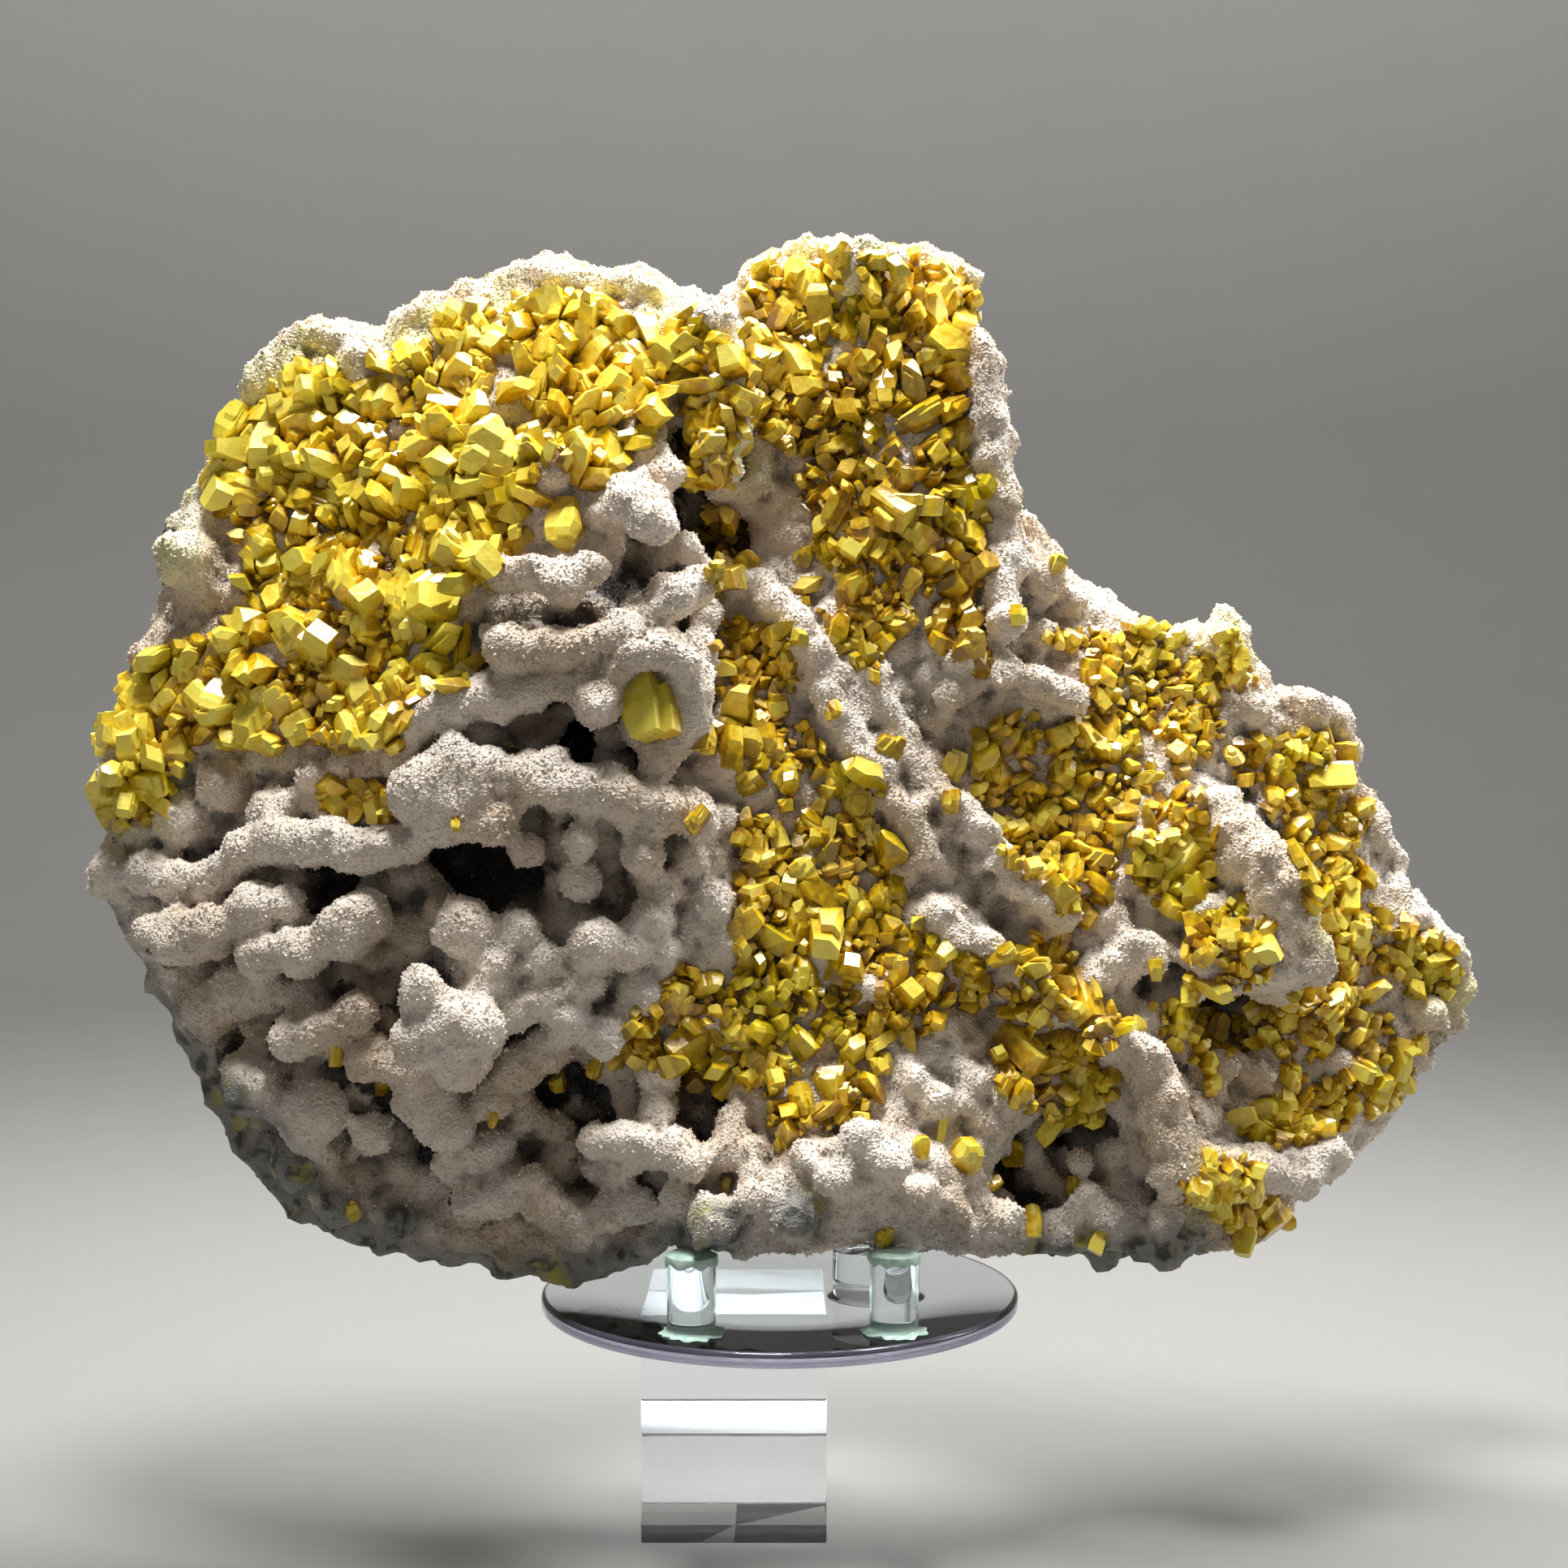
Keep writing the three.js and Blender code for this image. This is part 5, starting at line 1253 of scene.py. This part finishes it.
def finish_stone(mesh, cad_tree):
    """Gives the stone its fine relief, and the values that its material reads."""
    points, normals = points_of(mesh), normals_of(mesh)
    x, z = seen_at(points)
    behind = behind_front(points, normals, tree_of(mesh))
    ragged = noise_at(points, 7, 2, 9.0)
    rock = smooth_step(7 * MM, 12 * MM, behind + ragged * 4 * MM)
    front_rock = in_patches(ROCK_PATCHES, x, z, 2.5) * smooth_step(-0.5, 0.0, 0.35 - ragged)
    rock = np.maximum(rock, front_rock)
    fine = noise_at(points, 2.6, 3, 3.0) * 0.75 * MM
    broken = noise_at(points, 5, 4, 7.0) * 1.5 * MM
    points += normals * (fine * (1 - rock) + broken * rock)[:, None]
    points = clear_of_stand(points)
    near, far = (averaged(points, mesh, rounds) for rounds in (5, 24))
    small_hollow, hollow_shade = (np.einsum("ij,ij->i", evened - points, normals) for evened in (near, far))
    move_points(mesh, points)
    mesh.shade_smooth()

    # Painted shade: darker in the hollows, on the ground deep behind the fingers and towards the bottom.
    shade_in_hollows = np.maximum(smooth_step(0.2 * MM, 3.4 * MM, hollow_shade),
                       smooth_step(0.1 * MM, 1.1 * MM, small_hollow) * 0.7)
    deep = smooth_step(7 * MM, 15 * MM, depth_below(points, cad_tree)) * (behind < 2 * MM)
    low = smooth_step(70, 52, z) * smooth_step(-0.5, 0.3, ragged) * 0.6
    dusted = in_patches(FROSTED_ZONES, x, z, 5) * smooth_step(-0.6, 0.4, ragged) * 0.8
    add_values(mesh, "rock", rock)
    add_values(mesh, "hollow_shade", np.maximum(np.maximum(shade_in_hollows * 0.95, deep), low))
    add_values(mesh, "sulfur", sulfur_cover(points, normals, x, z, behind))
    add_values(mesh, "dusted", dusted * (behind < 8 * MM))


class SPECIMEN_OT_build_stage(Operator):
    """Build the floor, the lights and the camera"""

    bl_idname = "specimen.build_stage"
    bl_label = "Build stage"

    def execute(self, context):
        scene = context.scene
        stage = scene.specimen_stage
        curve = 0.5
        sides = 96
        rings = [(stage.radius * 0.5, 0), *arc((stage.radius, curve), curve, -90, 0, 13)]
        rings.append((stage.radius + curve, stage.wall))
        points = [*ring_points(rings, sides), (0, 0, 0)]
        faces = [(i, (i + 1) % sides, len(points) - 1) for i in range(sides)]
        faces += [(a, d, c, b) for a, b, c, d in band_faces(len(rings), sides)]
        mesh = smooth_mesh("paper_sweep", points, faces)
        add_object("paper_sweep", mesh, seamless_paper(stage))

        for name, place, target, width, height, power in LIGHTS:
            lamp = bpy.data.lights.new(name, "AREA")
            lamp.shape = "RECTANGLE"
            lamp.size = width
            lamp.size_y = height
            lamp.energy = power
            item = bpy.data.objects.new(name, lamp)
            scene.collection.objects.link(item)
            item.location = place
            item.rotation_euler = (Vector(target) - Vector(place)).to_track_quat("-Z", "Y").to_euler()

        scene.world = bpy.data.worlds.new("soft_room")
        scene.world.use_nodes = True
        room = scene.world.node_tree
        set_inputs(room, room.nodes["Background"], {"Color": linear("#e8ecf2"), "Strength": 0.06})
        scene.view_settings.view_transform = "Standard"

        lens = bpy.data.cameras.new("camera")
        lens.sensor_width = 36
        lens.lens = LENS
        lens.clip_start = 0.01
        camera = bpy.data.objects.new("camera", lens)
        scene.collection.objects.link(camera)
        camera.location = EYE
        camera.rotation_euler = (math.pi / 2, 0, 0)
        scene.camera = camera
        return {"FINISHED"}


class SPECIMEN_OT_build_stone(Operator):
    """Build the aragonite and its host rock as one stone"""

    bl_idname = "specimen.build_stone"
    bl_label = "Build stone"

    def execute(self, context):
        stone = context.scene.specimen_stone
        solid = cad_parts["aragonite_matrix"].data
        cad_tree = tree_of(solid)
        body = add_object("stone_form", solid.copy())
        body.data.materials.clear()
        sink_ground(body, stone)
        grow_knobs(body, cad_tree, stone.voxel)
        finish_stone(body.data, cad_tree)
        mesh = body.data.copy()
        mesh.name = "aragonite_stone"
        material = aragonite_stone(stone, context.scene.specimen_sulfur)
        add_piece("aragonite_stone", mesh, (material,), ("aragonite_matrix",))
        bpy.data.objects.remove(body)
        return {"FINISHED"}


class SPECIMEN_OT_build_druse(Operator):
    """Build the fine crystals that cover the aragonite"""

    bl_idname = "specimen.build_druse"
    bl_label = "Build druse"

    def execute(self, context):
        stone = context.scene.specimen_stone
        rng = np.random.default_rng(DRUSE_SEED)
        mesh = bpy.data.objects["aragonite_stone"].data
        points, corners = points_of(mesh), triangles_of(mesh)
        bare = 1 - values_of(mesh, "rock")[corners].mean(axis=1)
        covered = values_of(mesh, "sulfur")[corners].mean(axis=1)
        weights = np.clip(bare * 1.4 - 0.3, 0, 1) * (1 - 0.85 * covered)
        places, directions, chosen = scatter(points, corners, weights, DRUSE_CRYSTALS, rng)
        leans = unit(directions + rng.normal(size=directions.shape) * 0.35)
        turns = frames_along(leans, rng.uniform(0, 2 * math.pi, len(places)))
        size = rng.lognormal(0, 0.28, len(places))
        half_width = stone.grain_width / 2
        scale = size[:, None] * np.array((half_width, half_width, stone.grain_height))
        turns = turns * scale[:, None, :]
        foot = -0.25
        angles = np.radians((0, 120, 240))
        tip = np.array([(math.cos(t), math.sin(t), foot) for t in angles] + [(0, 0, 1 + foot)])
        tip_corners = np.array([(0, 1, 3), (1, 2, 3), (2, 0, 3), (0, 2, 1)])
        # Each crystal takes the stone's painted shade and its sulfur dust at its foot.
        values = {name: values_of(mesh, name)[corners[chosen, 0]] for name in ("hollow_shade", "dusted")}
        values["sparkle"] = rng.random(len(places)) ** 2
        material = aragonite_crystals(stone)
        bounds = np.quantile(places[:, 0], (1 / 3, 2 / 3))
        for number, name in enumerate(("left", "middle", "right")):
            side = np.searchsorted(bounds, places[:, 0], side="right") == number
            grains = triangle_mesh(f"druse_{name}", *repeated(tip, tip_corners, turns[side], places[side]))
            for key, numbers in values.items():
                add_values(grains, key, np.repeat(numbers[side], len(tip)))
            add_piece(f"aragonite_druse_{name}", grains, (material,))
        return {"FINISHED"}


class SPECIMEN_OT_build_sulfur(Operator):
    """Build the crusts of sulfur crystals"""

    bl_idname = "specimen.build_sulfur"
    bl_label = "Build sulfur"

    def execute(self, context):
        sulfur = context.scene.specimen_sulfur
        rng = np.random.default_rng(SULFUR_SEED)
        mesh = bpy.data.objects["aragonite_stone"].data
        tree = tree_of(mesh)
        points, corners = points_of(mesh), triangles_of(mesh)
        covered = values_of(mesh, "sulfur")[corners].mean(axis=1)
        x, z = seen_at(points[corners].mean(axis=1))
        facing = smooth_step(0.25, 0.7, -normals_of(mesh)[corners[:, 0], 1])
        frosted = in_patches(FROSTED_ZONES, x, z, 5) * 0.7
        full = [crystal_form((PYRAMID, BLUNT, DOME, BASE), FULL_RANGES, rng) for _ in range(FULL_FORMS)]
        plain = [crystal_form((PYRAMID, BASE), PLAIN_RANGES, rng) for _ in range(PLAIN_FORMS)]
        material = sulfur_crystals(sulfur)

        def strewn_crystals(area, taken):
            """Random crystals of an area, the larger ones first, that keep clear of the ones taken before."""
            within = np.zeros(len(corners), bool)
            for outline in SULFUR_AREAS[area]:
                for shift in (-2, 0, 2):
                    within |= is_inside(outline, x + shift, z)
            weights = within * (covered + STRAYS * facing)
            strewn = []
            for typical, gap, forms, tries in (
                (sulfur.large, LARGE_GAP[area], full, 9000),
                (sulfur.medium, 1.4, full + plain, 14000),
                (sulfur.small, 1.9, plain, 20000),
            ):
                half_width = typical * CRYSTAL_SCALE[area]
                is_small = typical <= sulfur.small
                chances = weights if is_small else weights * facing
                places, directions, chosen = scatter(points, corners, chances, tries, rng)
                for number in spaced_out(places.tolist(), half_width * gap, taken):
                    out = directions[number]
                    size = half_width * rng.uniform(0.7, 1.35)
                    turn = turn_along(out + rng.normal(size=3) * 0.55, rng)
                    turn = turn * size * np.array((1, rng.uniform(0.6, 1), rng.uniform(0.9, 1.7)))
                    centre = places[number] + out * size * rng.uniform(0.0, 0.5)
                    form, pale = forms[rng.integers(len(forms))], rng.beta(2, 2.4) + frosted[chosen[number]]
                    strewn.append((form, turn, centre, out, pale))
                    if not is_small:
                        strewn += grown_on(form, turn, centre, out, pale, rng.integers(0, 2), rng)
                    taken.append(places[number])
            return strewn

        for area in SHOWN_CRYSTALS:
            made, centres = shown_crystals(area, tree, full, rng)
            if area in SULFUR_AREAS:
                made += strewn_crystals(area, centres)
            crust = crystal_mesh(f"sulfur_{area}", made, tree, AREA_SHADE_AND_TONE[area], rng)
            add_piece(f"sulfur_crystals_{area}", crust, (material,), REPLACED_BY_AREA[area])
        return {"FINISHED"}


class SPECIMEN_OT_build_stand(Operator):
    """Build the acrylic blocks, disc, pegs and post"""

    bl_idname = "specimen.build_stand"
    bl_label = "Build stand"

    def execute(self, context):
        stand = context.scene.specimen_stand
        clear, sawn, rim_polished = polished_acrylic(), sawn_acrylic(), rim_acrylic()
        for name in ("block_lower", "block_upper", "disc", "peg_left", "peg_right", "post_back"):
            low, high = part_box(f"stand_{name}")
            foot = ((low.x + high.x) / 2, (low.y + high.y) / 2, low.z)
            radius, height = (high.x - low.x) / 2, high.z - low.z
            piece_name = f"acrylic_{name}"
            if name.startswith("block"):
                mesh = block_mesh(piece_name, low, high, stand.bevel)
                materials, second = (clear, sawn), mesh.polygons[:1]
            elif name == "disc":
                edge = height * 0.32
                rim = radius - edge
                profile = [(0, 0), (rim * 0.5, 0), *arc((rim, edge), edge, -90, 0, 9)]
                profile += [*arc((rim, height - edge), edge, 0, 90, 9), (rim * 0.5, height), (0, height)]
                mesh = turned_mesh(piece_name, profile, 192, foot)
                materials = (clear, rim_polished)
                second = [face for face in mesh.polygons if abs(face.normal.z) < 0.98]
            else:
                glue, edge = stand.fillet, 0.3 * MM
                shaft = radius - glue
                profile = [(0, 0), (shaft + glue, 0), *arc((shaft + glue, glue), glue, -90, -180, 7)[1:]]
                profile += [*arc((shaft - edge, height - edge), edge, 0, 90, 4), (0, height)]
                mesh = turned_mesh(piece_name, profile, 72, foot)
                materials, second = (clear,), ()
            piece = add_piece(piece_name, mesh, materials, (f"stand_{name}",))
            piece.visible_shadow = False
            for face in second:
                face.material_index = 1
        return {"FINISHED"}


def wave_round(points, centre, waves, seed):
    """Noise for each point by its turn about an upright axis, which closes on itself."""
    turns = np.arctan2(points[:, 1] - centre.y, points[:, 0] - centre.x)
    return np.array([noise.noise(Vector((math.cos(t) * waves, math.sin(t) * waves, seed))) for t in turns])


class SPECIMEN_OT_build_putty(Operator):
    """Build the pressed putty on the front pegs and its thin residue round their feet"""

    bl_idname = "specimen.build_putty"
    bl_label = "Build putty"

    def execute(self, context):
        stand = context.scene.specimen_stand
        material = pressed_putty(stand)
        for side, seed in (("left", 1.3), ("right", 4.1)):
            low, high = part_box(f"putty_pad_{side}")
            peg_low, peg_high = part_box(f"stand_peg_{side}")
            centre = Vector(((low.x + high.x) / 2, (low.y + high.y) / 2, low.z))
            radius = (high.x - low.x) / 2
            peg_radius = (peg_high.x - peg_low.x) / 2 - stand.fillet + 0.05 * MM

            top = high.z - low.z + 0.4 * MM
            under = -0.25 * MM
            profile = [(0, under), (peg_radius * 0.6, under), (peg_radius, under), (peg_radius, -stand.drip),
                       (radius * 0.985, -stand.drip * 1.02), (radius * 1.02, -0.3 * MM),
                       (radius * 0.98, top * 0.6), (radius * 0.8, top), (radius * 0.4, top * 1.05), (0, top)]
            mesh = turned_mesh(f"putty_{side}", profile, 72, centre)
            points = points_of(mesh)
            wave = wave_round(points, centre, 2.2, seed)
            hangs = points[:, 2] < centre.z - 1.2 * MM
            points[hangs, 2] += (0.55 + wave[hangs]) * stand.drip * 0.75
            points[~hangs, 2] += wave[~hangs] * 0.12 * MM
            move_points(mesh, points)
            add_piece(f"putty_{side}", mesh, (material,), (f"putty_pad_{side}",))

            foot = Vector((centre.x, centre.y, peg_low.z))
            inner = peg_radius + stand.fillet * 0.5
            rings = ((0, -0.1), (0.8, -0.1), (0.9, 0.05), (0.6, 0.15), (0, 0.12))
            profile = [(inner + out * MM, height * MM) for out, height in rings]
            profile = [(0, profile[0][1]), *profile, (0, profile[-1][1])]
            mesh = turned_mesh(f"residue_{side}", profile, 90, foot)
            points = points_of(mesh)
            across = points[:, :2] - np.array(foot[:2])
            points[:, :2] += across * wave_round(points, foot, 3, seed + 7)[:, None] * 0.3
            move_points(mesh, points)
            add_piece(f"putty_residue_{side}", mesh, (material,))
        return {"FINISHED"}


class SPECIMEN_PT_panel(Panel):
    """Lists the steps that build the specimen"""

    bl_idname = "SPECIMEN_PT_panel"
    bl_label = "Specimen"
    bl_space_type = "VIEW_3D"
    bl_region_type = "UI"
    bl_category = "Specimen"

    def draw(self, context):
        for step in STEPS:
            self.layout.operator(step.bl_idname)


STEPS = (
    SPECIMEN_OT_build_stage,
    SPECIMEN_OT_build_stone,
    SPECIMEN_OT_build_druse,
    SPECIMEN_OT_build_sulfur,
    SPECIMEN_OT_build_stand,
    SPECIMEN_OT_build_putty,
)
SETTINGS = {
    "specimen_stone": StoneSettings,
    "specimen_sulfur": SulfurSettings,
    "specimen_stand": StandSettings,
    "specimen_stage": StageSettings,
}
CLASSES = (*SETTINGS.values(), *STEPS, SPECIMEN_PT_panel)


def register():
    for item in CLASSES:
        bpy.utils.register_class(item)
    for name, group in SETTINGS.items():
        setattr(bpy.types.Scene, name, PointerProperty(type=group))


def unregister():
    for name in SETTINGS:
        delattr(bpy.types.Scene, name)
    for item in reversed(CLASSES):
        bpy.utils.unregister_class(item)


def main():
    register()
    bpy.ops.specimen.build_stage()
    bpy.ops.specimen.build_stone()
    bpy.ops.specimen.build_druse()
    bpy.ops.specimen.build_sulfur()
    bpy.ops.specimen.build_stand()
    bpy.ops.specimen.build_putty()


if __name__ == "__main__":
    main()
